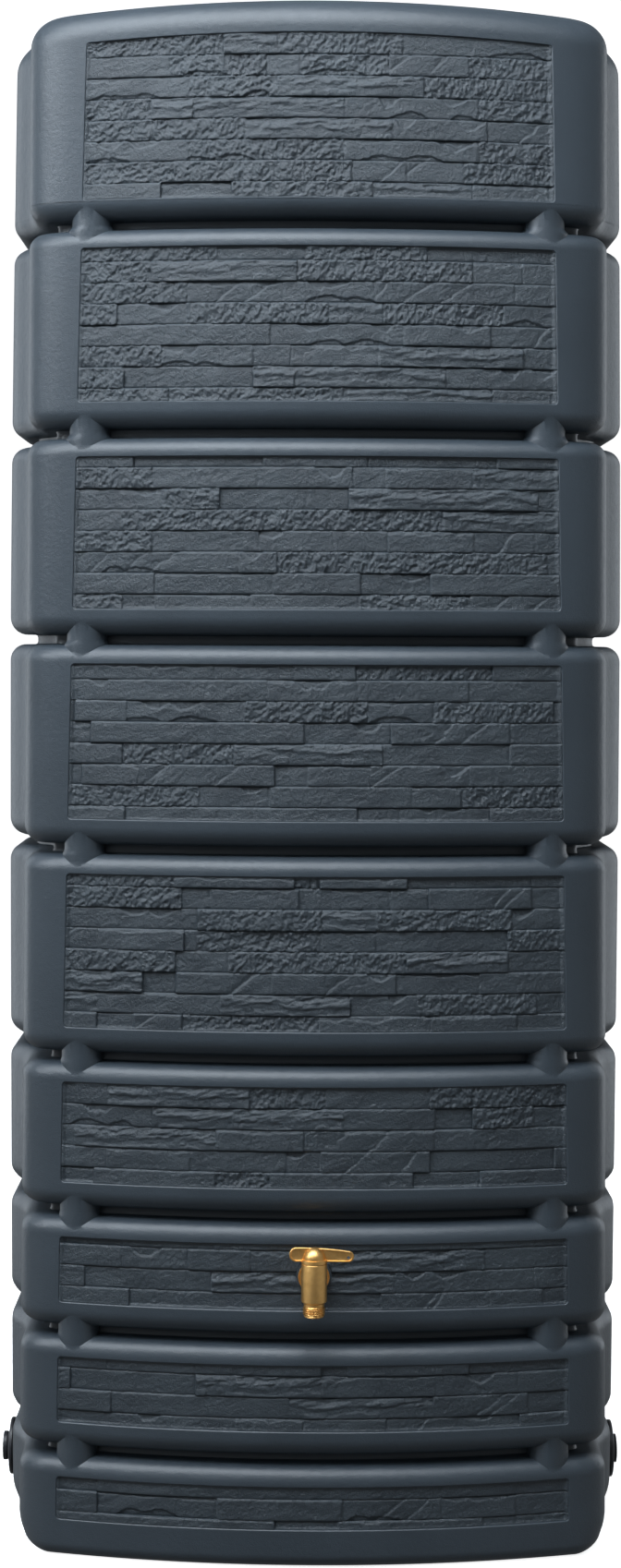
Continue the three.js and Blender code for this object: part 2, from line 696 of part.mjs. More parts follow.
addPart('tank_shell', tankShell(), tankPlastic);
addPart('lid', lid(), lidPlastic);
addPart('lid_seal', lidSeal(), rubber);
addPart('tap_insert', tapInsert(), brass);
addPart('tap_flange_seal', tapFlangeSeal(), rubber);
addPart('tap_body', tapBody(), brass);
addPart('tap_rotor', tapRotor(), brass);
addPart('tap_stem_seal', tapStemSeal(), rubber);
addPart('tap_retainer', tapRetainer(), brass);
addPart('tap_lever', tapLever(), brass);

for (const [label, side] of [['left', -1], ['right', 1]]) {
  addPart(`port_fitting_${label}`, portFitting(side), blackPlastic);
  addPart(`port_seal_${label}`, portSeal(side), rubber);
  addPart(`port_nut_${label}`, portNut(side), blackPlastic);
  addPart(`port_plug_${label}`, portPlug(side, side < 0 ? 5 : 1.6), blackPlastic);
  addPart(`plug_seal_${label}`, plugSeal(side), rubber);
  addPart(`wall_bracket_${label}`, bracket(side), zincSteel);
  addPart(`bracket_screw_${label}`, bracketScrew(side), zincSteel);
}

export default barrel;
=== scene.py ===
"""Looks of the slim wall-standing rain barrel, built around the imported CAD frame.

Sizes are millimetres, in the frame's own axes (+Z up, the front faces -Y), until a mesh is made.
"""

import math
import re

import bmesh
import bpy
import numpy as np
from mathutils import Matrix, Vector

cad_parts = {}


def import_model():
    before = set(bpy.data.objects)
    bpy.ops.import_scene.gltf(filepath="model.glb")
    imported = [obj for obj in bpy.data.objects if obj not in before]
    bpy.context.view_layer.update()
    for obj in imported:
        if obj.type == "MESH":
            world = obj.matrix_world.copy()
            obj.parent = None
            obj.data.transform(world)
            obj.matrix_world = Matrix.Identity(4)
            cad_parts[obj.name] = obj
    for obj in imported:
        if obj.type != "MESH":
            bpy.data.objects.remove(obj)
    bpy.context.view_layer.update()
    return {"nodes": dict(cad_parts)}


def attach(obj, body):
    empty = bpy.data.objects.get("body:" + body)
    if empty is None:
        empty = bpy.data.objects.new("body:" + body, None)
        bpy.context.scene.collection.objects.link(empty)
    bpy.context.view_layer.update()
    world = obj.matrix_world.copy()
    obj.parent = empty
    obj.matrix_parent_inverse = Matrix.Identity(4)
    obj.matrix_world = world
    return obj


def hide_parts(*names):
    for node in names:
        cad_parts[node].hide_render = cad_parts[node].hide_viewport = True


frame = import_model()

MM = 0.001

# ---------------------------------------------------------------- sizes of the tank
HEIGHT = 1880.0
FRONT_Y = -200.0
BACK_Y = 200.0
WALL = 4.0
BOW_RADIUS = 1200.0
SIDE_X_BASE, SIDE_X_TOP = 358.0, 352.0
CORNER_MARGIN, CORNER_LEG = 8.0, 31.0
FLARE_START_Y, FLARE_END_Y = -60.0, 25.0
REAR_X, REAR_PULL_BASE, REAR_PULL_TOP, WIDEST_Z = 388.5, 9.0, 5.5, 1150.0
REAR_RADIUS = 60.0

GROOVES_Z = (126.0, 271.0, 416.0, 603.0, 854.5, 1108.0, 1357.5, 1609.0)
GROOVE_HALF_GAP = 6.0
GROOVE_DEPTH = 35.0
GROOVE_FLOOR_RADIUS = 3.5
TOP_EDGE_RADIUS, LOW_EDGE_RADIUS = 20.0, 22.0
BASE_RADIUS, TOP_RADIUS = 17.0, 38.0
BASE_PULL, BASE_PULL_Z = 18.0, 48.0
CROWN, CROWN_X, CROWN_START_Z, CROWN_FULL_Z = 9.0, 281.0, 1812.0, 1842.0

PANEL_HALF_BASE, PANEL_HALF_LOSS, PANEL_TAPER_POWER = 310.0, 31.0, 1.4
PANEL_TOP_MARGIN, PANEL_BOTTOM_MARGIN = 23.0, 31.0
TOP_PANEL_MARGIN, TOP_PANEL_LOW_MARGIN, BASE_PANEL_MARGIN = 45.0, 23.0, 46.0
PANEL_CORNER = 4.5
RECESS_DEPTH, LIP_DROP = 9.0, 0.9

RIB_RADIUS, RIB_SETBACK, RIB_BACK = 24.4, 26.4, 37.0
RIB_X_BASE, RIB_X_TOP = 287.0, 272.0
RIB_FOOT, RIB_REACH = 6.0, 21.0

LID_Y = 5.0
WELL_RADIUS, WELL_FLOOR_Z = 124.0, 1862.0
NECK_RADIUS, NECK_TOP_Z = 100.0, 1884.0

TAP_Y, TAP_Z = -245.0, 350.0
TAP_BOSS_RADIUS, TAP_BOSS_FACE_Y, TAP_BOSS_BACK_Y, INSERT_RADIUS = 21.0, -199.0, -183.0, 17.0

PORT_X, PORT_Y, PORT_Z = 381.3, 66.0, 67.0
PORT_PAD_RADIUS, PORT_BARREL_RADIUS = 37.0, 22.3

BRACKET_X, BRACKET_SEAT_Z, BRACKET_SCREW_Y = 240.0, 1869.5, 138.0


def smoothstep(value, low, high):
    t = np.clip((value - low) / (high - low), 0.0, 1.0)
    return t * t * (3.0 - 2.0 * t)


# ---------------------------------------------------------------- plan of the tank
def base_pull(z):
    """How far the sides have drawn in towards the base, at height z."""
    return BASE_PULL * (max(0.0, BASE_PULL_Z - z) / BASE_PULL_Z) ** 2


def side_x(z):
    return SIDE_X_BASE + (SIDE_X_TOP - SIDE_X_BASE) * z / HEIGHT - base_pull(z)


def panel_half(z):
    return PANEL_HALF_BASE - PANEL_HALF_LOSS * (max(z, 0.0) / HEIGHT) ** PANEL_TAPER_POWER


def rear_x(z):
    below = max(0.0, WIDEST_Z - z) / WIDEST_Z
    above = max(0.0, z - WIDEST_Z) / (HEIGHT - WIDEST_Z)
    return REAR_X - REAR_PULL_BASE * below**1.5 - REAR_PULL_TOP * above**1.5 - base_pull(z)


def rib_x(z):
    return RIB_X_BASE + (RIB_X_TOP - RIB_X_BASE) * z / HEIGHT


def bow(x, inset=0.0):
    """How far the bowed front lies behind its apex, at x."""
    radius = BOW_RADIUS - inset
    return radius - np.sqrt(radius * radius - x * x)


def crown_drop(x, z):
    return CROWN * (x / CROWN_X) ** 2 * smoothstep(z, CROWN_START_Z, CROWN_FULL_Z)


def panel_spans():
    """Lowest and highest z of each segment's panel, from the bottom segment up."""
    tops = [z - GROOVE_HALF_GAP - PANEL_TOP_MARGIN for z in GROOVES_Z] + [HEIGHT - TOP_PANEL_MARGIN]
    lows = [BASE_PANEL_MARGIN] + [z + GROOVE_HALF_GAP + PANEL_BOTTOM_MARGIN for z in GROOVES_Z]
    lows[-1] += TOP_PANEL_LOW_MARGIN - PANEL_BOTTOM_MARGIN
    return list(zip(lows, tops))


PANELS = panel_spans()


def bezier(points, count):
    """Points along a quadratic or cubic Bezier curve, the first end left out."""
    t = np.linspace(0.0, 1.0, count + 1)[1:, None]
    p = [np.array(q) for q in points]
    if len(p) == 3:
        return (1 - t) ** 2 * p[0] + 2 * t * (1 - t) * p[1] + t**2 * p[2]
    return (1 - t) ** 3 * p[0] + 3 * t * (1 - t) ** 2 * p[1] + 3 * t**2 * (1 - t) * p[2] + t**3 * p[3]


RECESS_COLUMNS = np.array(
    [-48.0, -30.0, -18.0, -10.0, -6.0, -4.0, -2.8, -1.9, -1.3]
    + [-0.9, -0.5, -0.1, 0.3, 0.7, 1.2, 2.0, 3.4, 6.0]
)


def front_columns(z, corner_x):
    """x of the columns of points across the right half of the front. They gather at the edge of the
    panel's recess."""
    near = panel_half(z) + RECESS_COLUMNS
    near = np.minimum(near, corner_x - 0.4 * np.arange(len(near), 0, -1))
    centre = np.linspace(0.0, near[0], 12)[:-1]
    return np.concatenate((centre, near, [corner_x]))


def recess_depth(x, z, grow):
    """Depth of the panel's recess at x on the row at height z, with a rounded lip and corners. The
    recess is wider by grow on each side."""
    depth = np.zeros_like(x)
    for low, high in PANELS:
        low, high = low - grow, high + grow
        if low - 3.0 < z < high + 3.0:
            side = np.abs(x) - panel_half(z) - grow + PANEL_CORNER
            end = max(low - z, z - high) + PANEL_CORNER
            outside = np.hypot(np.maximum(side, 0.0), max(end, 0.0))
            edge = outside + np.minimum(np.maximum(side, end), 0.0) - PANEL_CORNER
            lip = LIP_DROP * smoothstep(-edge, -0.9, 0.4)
            depth = lip + (RECESS_DEPTH - LIP_DROP) * smoothstep(-edge, 0.1, 0.9)
    return depth


def ring(z, inset, offset):
    """The tank's plan at height z, set in by inset, as points anticlockwise from above."""
    side = side_x(z) - inset
    rear = rear_x(z) - inset
    back = BACK_Y - inset
    corner_x = min(panel_half(z) + CORNER_MARGIN, side - 10.0)
    columns = front_columns(z, corner_x)
    face = FRONT_Y + inset + bow(columns, inset)
    front = np.column_stack((columns, face + recess_depth(columns, z, offset)))
    start = front[-1]
    slope = corner_x / (BOW_RADIUS - inset - bow(corner_x, inset))
    tip = (side, start[1] + slope * (side - corner_x))
    end = (side, tip[1] + max(10.0, CORNER_LEG - 0.6 * inset))
    length = FLARE_END_Y - FLARE_START_Y
    flare = [
        (side, FLARE_START_Y),
        (side, FLARE_START_Y + 0.45 * length),
        (rear, FLARE_END_Y - 0.45 * length),
        (rear, FLARE_END_Y),
    ]
    radius = max(12.0, REAR_RADIUS - inset)
    rear_corner = [(rear, back - radius), (rear, back), (rear - radius, back)]
    half = [
        front,
        bezier([start, tip, end], 10),
        [(side, (end[1] + FLARE_START_Y) / 2), flare[0]],
        bezier(flare, 8),
        [(rear, FLARE_END_Y + (back - radius - FLARE_END_Y) * t) for t in (0.33, 0.67, 1.0)],
        bezier(rear_corner, 6),
        [((rear - radius) * t, back) for t in np.linspace(1.0, 0.0, 6)[1:]],
    ]
    half = np.vstack(half)
    mirrored = half[1:-1][::-1] * np.array([-1.0, 1.0])
    plan = np.vstack((half, mirrored))
    return np.column_stack((plan, z - crown_drop(plan[:, 0], z)))


def edge_rows(centre_z, centre_inset, radius, start, stop, steps):
    angles = np.radians(np.linspace(start, stop, steps + 1))
    return [(centre_z + radius * math.sin(a), centre_inset - radius * math.cos(a)) for a in angles]


def panel_rows(low, high):
    """Heights between a panel's ends, gathered where the recess's lip needs them."""
    near = (-5.0, -3.0, -1.9, -1.3, -0.9, -0.5, -0.1, 0.3, 0.7, 1.2, 2.2)
    middle = np.linspace(low + 8.0, high - 8.0, 4)
    rows = [low - d for d in reversed(near)] + list(middle) + [high + d for d in near]
    return sorted(rows)


def inner_panel_rows(low, high):
    """Heights that carry the inside of the wall around a panel's recess."""
    return (low - WALL - 1.0, low - WALL + 1.3, high + WALL - 1.3, high + WALL + 1.0)


def tank_rows(offset, steps, fine):
    """Rows of [z, inset] up the tank, moved inwards by offset for the inside of the wall."""
    rows = edge_rows(BASE_RADIUS, BASE_RADIUS, BASE_RADIUS - offset, -90, 0, steps + 4)
    rows += [(z, offset) for z in (30.0, 36.0)]
    top_edge, low_edge = TOP_EDGE_RADIUS - offset, LOW_EDGE_RADIUS - offset
    floor = GROOVE_FLOOR_RADIUS if fine else 0.0
    for i, z in enumerate(GROOVES_Z):
        low, high = z - GROOVE_HALF_GAP, z + GROOVE_HALF_GAP
        if fine:
            rows += [(h, 0.0) for h in panel_rows(*PANELS[i])]
        else:
            rows += [(h, offset) for h in inner_panel_rows(*PANELS[i])]
        rows += edge_rows(low - TOP_EDGE_RADIUS, TOP_EDGE_RADIUS, top_edge, 0, 90, steps)
        if fine:
            rows += [(low, GROOVE_DEPTH - floor), (low + 0.3 * floor, GROOVE_DEPTH - 0.3 * floor)]
            rows += [(low + floor, GROOVE_DEPTH), (high - floor, GROOVE_DEPTH)]
            rows += [(high - 0.3 * floor, GROOVE_DEPTH - 0.3 * floor), (high, GROOVE_DEPTH - floor)]
        else:
            rows += [(low - offset, GROOVE_DEPTH + offset), (high + offset, GROOVE_DEPTH + offset)]
        rows += edge_rows(high + LOW_EDGE_RADIUS, LOW_EDGE_RADIUS, low_edge, -90, 0, steps)
    last = PANELS[-1]
    if fine:
        rows += [(h, 0.0) for h in panel_rows(*last) if h < HEIGHT - TOP_RADIUS - 0.5]
        rows += [(h, edge_inset(h)) for h in panel_rows(*last) if h >= HEIGHT - TOP_RADIUS - 0.5]
        top = edge_rows(HEIGHT - TOP_RADIUS, TOP_RADIUS, TOP_RADIUS, 0, 90, steps + 6)
        rows += [row for row in top if row[0] > rows[-1][0] + 0.6]
    else:
        rows += [(h, offset) for h in inner_panel_rows(*last)[:2]]
        rows += [(h, offset + edge_inset(h)) for h in inner_panel_rows(*last)[2:]]
        top = edge_rows(HEIGHT - TOP_RADIUS, TOP_RADIUS, TOP_RADIUS - offset, 0, 90, steps + 2)
        rows += [row for row in top if row[0] > rows[-1][0] + 0.6]
    return rows


def edge_inset(z):
    """Inset of the rounded top edge at height z."""
    rise = z - (HEIGHT - TOP_RADIUS)
    if rise <= 0.0:
        return 0.0
    return TOP_RADIUS - math.sqrt(TOP_RADIUS**2 - rise**2)


def circle_like(points, radius, z):
    """A circle about the lid's centre, with a point in line with each given point."""
    angle = np.arctan2(points[:, 1] - LID_Y, points[:, 0])
    x = radius * np.cos(angle)
    y = LID_Y + radius * np.sin(angle)
    return np.column_stack((x, y, np.full(len(points), z)))


def tank_rings():
    """Every ring of the tank, up the outside, in through the neck and down the inside."""
    rings = [ring(z, inset, 0.0) for z, inset in tank_rows(0.0, 12, True)]
    rim = rings[-1]
    well_top = circle_like(rim, WELL_RADIUS + 2.5, HEIGHT)
    well_top[:, 2] -= crown_drop(well_top[:, 0], HEIGHT)
    for t in (0.12, 0.3, 0.5, 0.7, 0.85):
        between = rim * (1 - t) + well_top * t
        between[:, 2] = HEIGHT - crown_drop(between[:, 0], HEIGHT)
        rings.append(between)
    rings.append(well_top)
    lip = circle_like(rim, WELL_RADIUS + 0.6, HEIGHT)
    lip[:, 2] = well_top[:, 2] - 0.7
    rings.append(lip)
    wall_top = circle_like(rim, WELL_RADIUS, HEIGHT)
    wall_top[:, 2] = well_top[:, 2] - 2.4
    rings.append(wall_top)
    for radius, z in (
        (WELL_RADIUS, WELL_FLOOR_Z + 3.0),
        (WELL_RADIUS - 0.9, WELL_FLOOR_Z + 0.9),
        (WELL_RADIUS - 3.0, WELL_FLOOR_Z),
        (NECK_RADIUS + 2.5, WELL_FLOOR_Z),
        (NECK_RADIUS + 0.7, WELL_FLOOR_Z + 0.7),
        (NECK_RADIUS, WELL_FLOOR_Z + 2.5),
        (NECK_RADIUS, NECK_TOP_Z - 1.0),
        (NECK_RADIUS - 0.3, NECK_TOP_Z - 0.3),
        (NECK_RADIUS - 1.0, NECK_TOP_Z),
        (NECK_RADIUS - WALL + 1.0, NECK_TOP_Z),
        (NECK_RADIUS - WALL + 0.3, NECK_TOP_Z - 0.3),
        (NECK_RADIUS - WALL, NECK_TOP_Z - 1.0),
        (NECK_RADIUS - WALL, WELL_FLOOR_Z - WALL + 1.0),
        (NECK_RADIUS - WALL + 1.0, WELL_FLOOR_Z - WALL),
        (WELL_RADIUS + WALL - 2.0, WELL_FLOOR_Z - WALL),
        (WELL_RADIUS + WALL, WELL_FLOOR_Z - WALL + 2.0),
    ):
        rings.append(circle_like(rim, radius, z))
    inner = [ring(z, inset, WALL) for z, inset in tank_rows(WALL, 2, False)]
    under = circle_like(rim, WELL_RADIUS + WALL, HEIGHT - WALL)
    under[:, 2] = HEIGHT - WALL - crown_drop(under[:, 0], HEIGHT)
    rings.append(under)
    for t in (0.3, 0.6, 0.85):
        between = under * (1 - t) + inner[-1] * t
        between[:, 2] = HEIGHT - WALL - crown_drop(between[:, 0], HEIGHT)
        rings.append(between)
    return rings + inner[::-1]


# ---------------------------------------------------------------- meshes
def mesh_object(name, vertices, faces):
    """A mesh from millimetre vertices."""
    mesh = bpy.data.meshes.new(name)
    mesh.from_pydata((np.asarray(vertices) * MM).tolist(), [], faces)
    mesh.validate()
    obj = bpy.data.objects.new(name, mesh)
    bpy.context.scene.collection.objects.link(obj)
    return obj


def finish_piece(obj, body, material, node, sharp):
    """Gives a piece its finish and the body it rides on, and hides the CAD node it stands for. Its shading
    is smooth but for edges steeper than sharp degrees."""
    mesh = obj.data
    mesh.materials.clear()
    mesh.materials.append(material)
    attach(obj, body)
    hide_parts(node)
    mesh.polygons.foreach_set("use_smooth", [True] * len(mesh.polygons))
    mesh.set_sharp_from_angle(angle=math.radians(sharp))


def weld(obj, distance):
    """Merges points closer than distance, in millimetres, and sets every face to point outwards."""
    bm = bmesh.new()
    bm.from_mesh(obj.data)
    bmesh.ops.remove_doubles(bm, verts=bm.verts, dist=distance * MM)
    bmesh.ops.dissolve_degenerate(bm, edges=bm.edges, dist=0.2 * distance * MM)
    bmesh.ops.recalc_face_normals(bm, faces=bm.faces)
    bm.to_mesh(obj.data)
    bm.free()
    return obj


def apply_modifiers(obj):
    graph = bpy.context.evaluated_depsgraph_get()
    result = bpy.data.meshes.new_from_object(obj.evaluated_get(graph))
    obj.modifiers.clear()
    old = obj.data
    obj.data = result
    bpy.data.meshes.remove(old)


def cut(obj, tool, operation):
    """Applies a boolean to obj and deletes the tool."""
    modifier = obj.modifiers.new("cut", "BOOLEAN")
    modifier.operation = operation
    modifier.solver = "MANIFOLD"
    modifier.object = tool
    apply_modifiers(obj)
    bpy.data.objects.remove(tool)
    return obj


def lofted(name, rings):
    """A closed skin over rings that all have the same number of points, with its ends filled."""
    count = len(rings[0])
    points = np.vstack(rings)
    faces = []
    for row in range(len(rings) - 1):
        a = row * count
        for i in range(count):
            j = (i + 1) % count
            faces.append((a + i, a + j, a + count + j, a + count + i))
    first = len(points)
    points = np.vstack((points, rings[0].mean(axis=0), rings[-1].mean(axis=0)))
    last_row = (len(rings) - 1) * count
    for i in range(count):
        j = (i + 1) % count
        faces.append((first, j, i))
        faces.append((first + 1, last_row + i, last_row + j))
    return mesh_object(name, points, faces)


def turned(name, profile, axis, centre, segments=96):
    """A turned solid from (radius, distance along the axis) pairs. A radius may also be one number for
    each segment. A profile that starts and ends off the axis is closed into a ring."""
    axis = Vector(axis).normalized()
    helper = Vector((0, 0, 1)) if abs(axis.z) < 0.9 else Vector((1, 0, 0))
    u = axis.cross(helper).normalized()
    v = axis.cross(u)
    frame_matrix = np.array((u, v, axis))
    angles = np.linspace(0.0, 2.0 * math.pi, segments, endpoint=False)
    points, faces, rows = [], [], []
    for radius, along in profile:
        if np.max(radius) < 1e-6:
            rows.append([len(points)])
            points.append((0.0, 0.0, along))
        else:
            rows.append(list(range(len(points), len(points) + segments)))
            radii = np.broadcast_to(radius, (segments,))
            points += [(r * math.cos(a), r * math.sin(a), along) for r, a in zip(radii, angles)]
    pairs = list(zip(rows, rows[1:]))
    if len(rows[0]) > 1 and len(rows[-1]) > 1:
        pairs.append((rows[-1], rows[0]))
    for low, high in pairs:
        for i in range(segments):
            j = (i + 1) % segments
            if len(low) == 1:
                faces.append((low[0], high[j], high[i]))
            elif len(high) == 1:
                faces.append((low[i], low[j], high[0]))
            else:
                faces.append((low[i], low[j], high[j], high[i]))
    points = np.array(points) @ frame_matrix + np.array(centre)
    return weld(mesh_object(name, points, faces), 0.0005)


def disc(radius, low, high, axis, centre, segments=64):
    profile = [(0.0, low), (radius, low), (radius, high), (0.0, high)]
    return turned("tool", profile, axis, centre, segments)


def prism(name, outline, place, thickness):
    """A solid of constant outline. place turns each outline point and a distance into a point."""
    count = len(outline)
    points = [place(u, v, 0.0) for u, v in outline] + [place(u, v, thickness) for u, v in outline]
    faces = [(i, (i + 1) % count, count + (i + 1) % count, count + i) for i in range(count)]
    faces += [list(reversed(range(count))), list(range(count, 2 * count))]
    return weld(mesh_object(name, points, faces), 0.0005)


def box_tool(x0, x1, y0, y1, z0, z1):
    points = [(x, y, z) for x in (x0, x1) for y in (y0, y1) for z in (z0, z1)]
    faces = [(0, 1, 3, 2), (4, 6, 7, 5), (0, 4, 5, 1), (2, 3, 7, 6), (0, 2, 6, 4), (1, 5, 7, 3)]
    return mesh_object("tool", points, faces)


def soften(obj, width):
    """Rounds the sharp edges of a finished shape."""
    modifier = obj.modifiers.new("soften", "BEVEL")
    modifier.width = width * MM
    modifier.segments = 2
    modifier.limit_method = "ANGLE"
    modifier.angle_limit = math.radians(40.0)
    apply_modifiers(obj)
    return obj


# ---------------------------------------------------------------- materials
def new_material(name):
    material = bpy.data.materials.new(name)
    material.use_nodes = True
    nodes = material.node_tree.nodes
    return material, nodes, material.node_tree.links, nodes["Principled BSDF"]


def noise_node(nodes, links, coordinates, scale, detail=3.0, roughness=0.55):
    node = nodes.new("ShaderNodeTexNoise")
    node.inputs["Scale"].default_value = scale
    node.inputs["Detail"].default_value = detail
    node.inputs["Roughness"].default_value = roughness
    links.new(coordinates, node.inputs["Vector"])
    return node


def colour_ramp(nodes, links, factor, stops):
    node = nodes.new("ShaderNodeValToRGB")
    links.new(factor, node.inputs["Fac"])
    elements = node.color_ramp.elements
    while len(elements) < len(stops):
        elements.new(0.5)
    for element, (position, colour) in zip(elements, stops):
        element.position = position
        element.color = (*colour, 1.0)
    return node


def number_range(nodes, links, value, low, high):
    node = nodes.new("ShaderNodeMapRange")
    links.new(value, node.inputs["Value"])
    node.inputs["To Min"].default_value = low
    node.inputs["To Max"].default_value = high
    return node.outputs["Result"]


def bump_node(nodes, links, height, distance, strength, normal=None):
    node = nodes.new("ShaderNodeBump")
    node.inputs["Distance"].default_value = distance
    node.inputs["Strength"].default_value = strength
    links.new(height, node.inputs["Height"])
    if normal is not None:
        links.new(normal, node.inputs["Normal"])
    return node.outputs["Normal"]


def plastic(name, dark, light, roughness, grain_scale, grain_depth):
    """Moulded plastic: slow colour drift, fine surface grain and uneven gloss."""
    material, nodes, links, shader = new_material(name)
    place = nodes.new("ShaderNodeTexCoord").outputs["Object"]
    drift = noise_node(nodes, links, place, 7.0, 4.0, 0.6)
    tint = colour_ramp(nodes, links, drift.outputs["Fac"], [(0.3, dark), (0.7, light)])
    links.new(tint.outputs["Color"], shader.inputs["Base Color"])
    grain = noise_node(nodes, links, place, grain_scale, 2.0, 0.5)
    coarse = noise_node(nodes, links, place, grain_scale / 6.0, 3.0, 0.6)
    gloss = number_range(nodes, links, coarse.outputs["Fac"], roughness - 0.06, roughness + 0.07)
    links.new(gloss, shader.inputs["Roughness"])
    normal = bump_node(nodes, links, coarse.outputs["Fac"], 2.0 * grain_depth, 0.35)
    normal = bump_node(nodes, links, grain.outputs["Fac"], grain_depth, 0.5, normal)
    links.new(normal, shader.inputs["Normal"])
    return material


def stone_plastic():
    """The stone relief: the tank's plastic with a broken, slightly glossier grain."""
    material, nodes, links, shader = new_material("stone_relief")
    place = nodes.new("ShaderNodeTexCoord").outputs["Object"]
    patches = noise_node(nodes, links, place, 16.0, 6.0, 0.6)
    tint = colour_ramp(
        nodes,
        links,
        patches.outputs["Fac"],
        [(0.28, (0.023, 0.031, 0.039)), (0.5, (0.029, 0.039, 0.048)), (0.74, (0.037, 0.049, 0.059))],
    )
    links.new(tint.outputs["Color"], shader.inputs["Base Color"])
    broken = noise_node(nodes, links, place, 260.0, 6.0, 0.7)
    fine = noise_node(nodes, links, place, 800.0, 3.0, 0.6)
    gloss = number_range(nodes, links, patches.outputs["Fac"], 0.24, 0.38)
    links.new(gloss, shader.inputs["Roughness"])
    normal = bump_node(nodes, links, broken.outputs["Fac"], 0.0026, 0.7)
    normal = bump_node(nodes, links, fine.outputs["Fac"], 0.0006, 0.5, normal)
    links.new(normal, shader.inputs["Normal"])
    return material


def brass():
    """Satin cast brass with a fine grain and faint tarnish."""
    material, nodes, links, shader = new_material("brass")
    place = nodes.new("ShaderNodeTexCoord").outputs["Object"]
    tarnish = noise_node(nodes, links, place, 90.0, 5.0, 0.65)
    tint = colour_ramp(
        nodes, links, tarnish.outputs["Fac"], [(0.3, (0.78, 0.44, 0.14)), (0.65, (0.93, 0.57, 0.21))]
    )
    links.new(tint.outputs["Color"], shader.inputs["Base Color"])
    shader.inputs["Metallic"].default_value = 1.0
    gloss = number_range(nodes, links, tarnish.outputs["Fac"], 0.32, 0.46)
    links.new(gloss, shader.inputs["Roughness"])
    grain = noise_node(nodes, links, place, 1500.0, 3.0, 0.6)
    links.new(bump_node(nodes, links, grain.outputs["Fac"], 0.00025, 0.5), shader.inputs["Normal"])
    return material


def zinc_steel():
    """Zinc-plated steel with a faint spangle."""
    material, nodes, links, shader = new_material("zinc_steel")
    place = nodes.new("ShaderNodeTexCoord").outputs["Object"]
    spangle = nodes.new("ShaderNodeTexVoronoi")
    spangle.inputs["Scale"].default_value = 160.0
    links.new(place, spangle.inputs["Vector"])
    tint = colour_ramp(
        nodes, links, spangle.outputs["Distance"], [(0.0, (0.47, 0.49, 0.52)), (0.8, (0.66, 0.68, 0.70))]
    )
    links.new(tint.outputs["Color"], shader.inputs["Base Color"])
    shader.inputs["Metallic"].default_value = 1.0
    gloss = number_range(nodes, links, spangle.outputs["Distance"], 0.28, 0.45)
    links.new(gloss, shader.inputs["Roughness"])
    return material


TANK_PLASTIC = plastic("tank_plastic", (0.030, 0.040, 0.050), (0.037, 0.049, 0.061), 0.38, 900.0, 0.0006)
LID_PLASTIC = plastic("lid_plastic", (0.040, 0.053, 0.066), (0.048, 0.062, 0.076), 0.48, 1400.0, 0.0003)
BLACK_PLASTIC = plastic("black_plastic", (0.010, 0.011, 0.014), (0.016, 0.017, 0.021), 0.40, 1300.0, 0.0002)
RUBBER = plastic("rubber", (0.008, 0.008, 0.009), (0.014, 0.014, 0.015), 0.8, 1800.0, 0.0002)
STONE = stone_plastic()
BRASS = brass()
ZINC = zinc_steel()


# ---------------------------------------------------------------- tank
def rib_tool():
    """The half-round ribs across the grooves, in one mesh of separate closed posts. Each widens
    sideways at its foot, the more the higher it stands."""
    points, faces = [], []
    angles = np.radians(np.linspace(-90.0, 90.0, 41))
    rises = np.array([-RIB_REACH, -14.0, -10.0, -8.0, -6.5, -5.0, -3.5, -2.0, 0.0, 4.0, RIB_REACH])
    for z in GROOVES_Z:
        foot = RIB_FOOT * z / HEIGHT
        for side in (-1, 1):
            x = side * rib_x(z)
            face = FRONT_Y + bow(x)
            first = len(points)
            for rise in rises:
                half = RIB_RADIUS + foot * float(smoothstep(-rise, 0.0, 8.0))
                axis = face + RIB_SETBACK
                plan = [(x + half * math.sin(a), axis - RIB_RADIUS * math.cos(a)) for a in angles]
                plan += [(x + half, face + RIB_BACK), (x - half, face + RIB_BACK)]
                points += [(px, py, z + rise) for px, py in plan]
            count = len(plan)
            for row in range(len(rises) - 1):
                low = first + row * count
                for i in range(count):
                    j = (i + 1) % count
                    faces.append((low + i, low + j, low + count + j, low + count + i))
            last = first + (len(rises) - 1) * count
            faces.append([first + i for i in reversed(range(count))])
            faces.append([last + i for i in range(count)])
    return mesh_object("tool", points, faces)


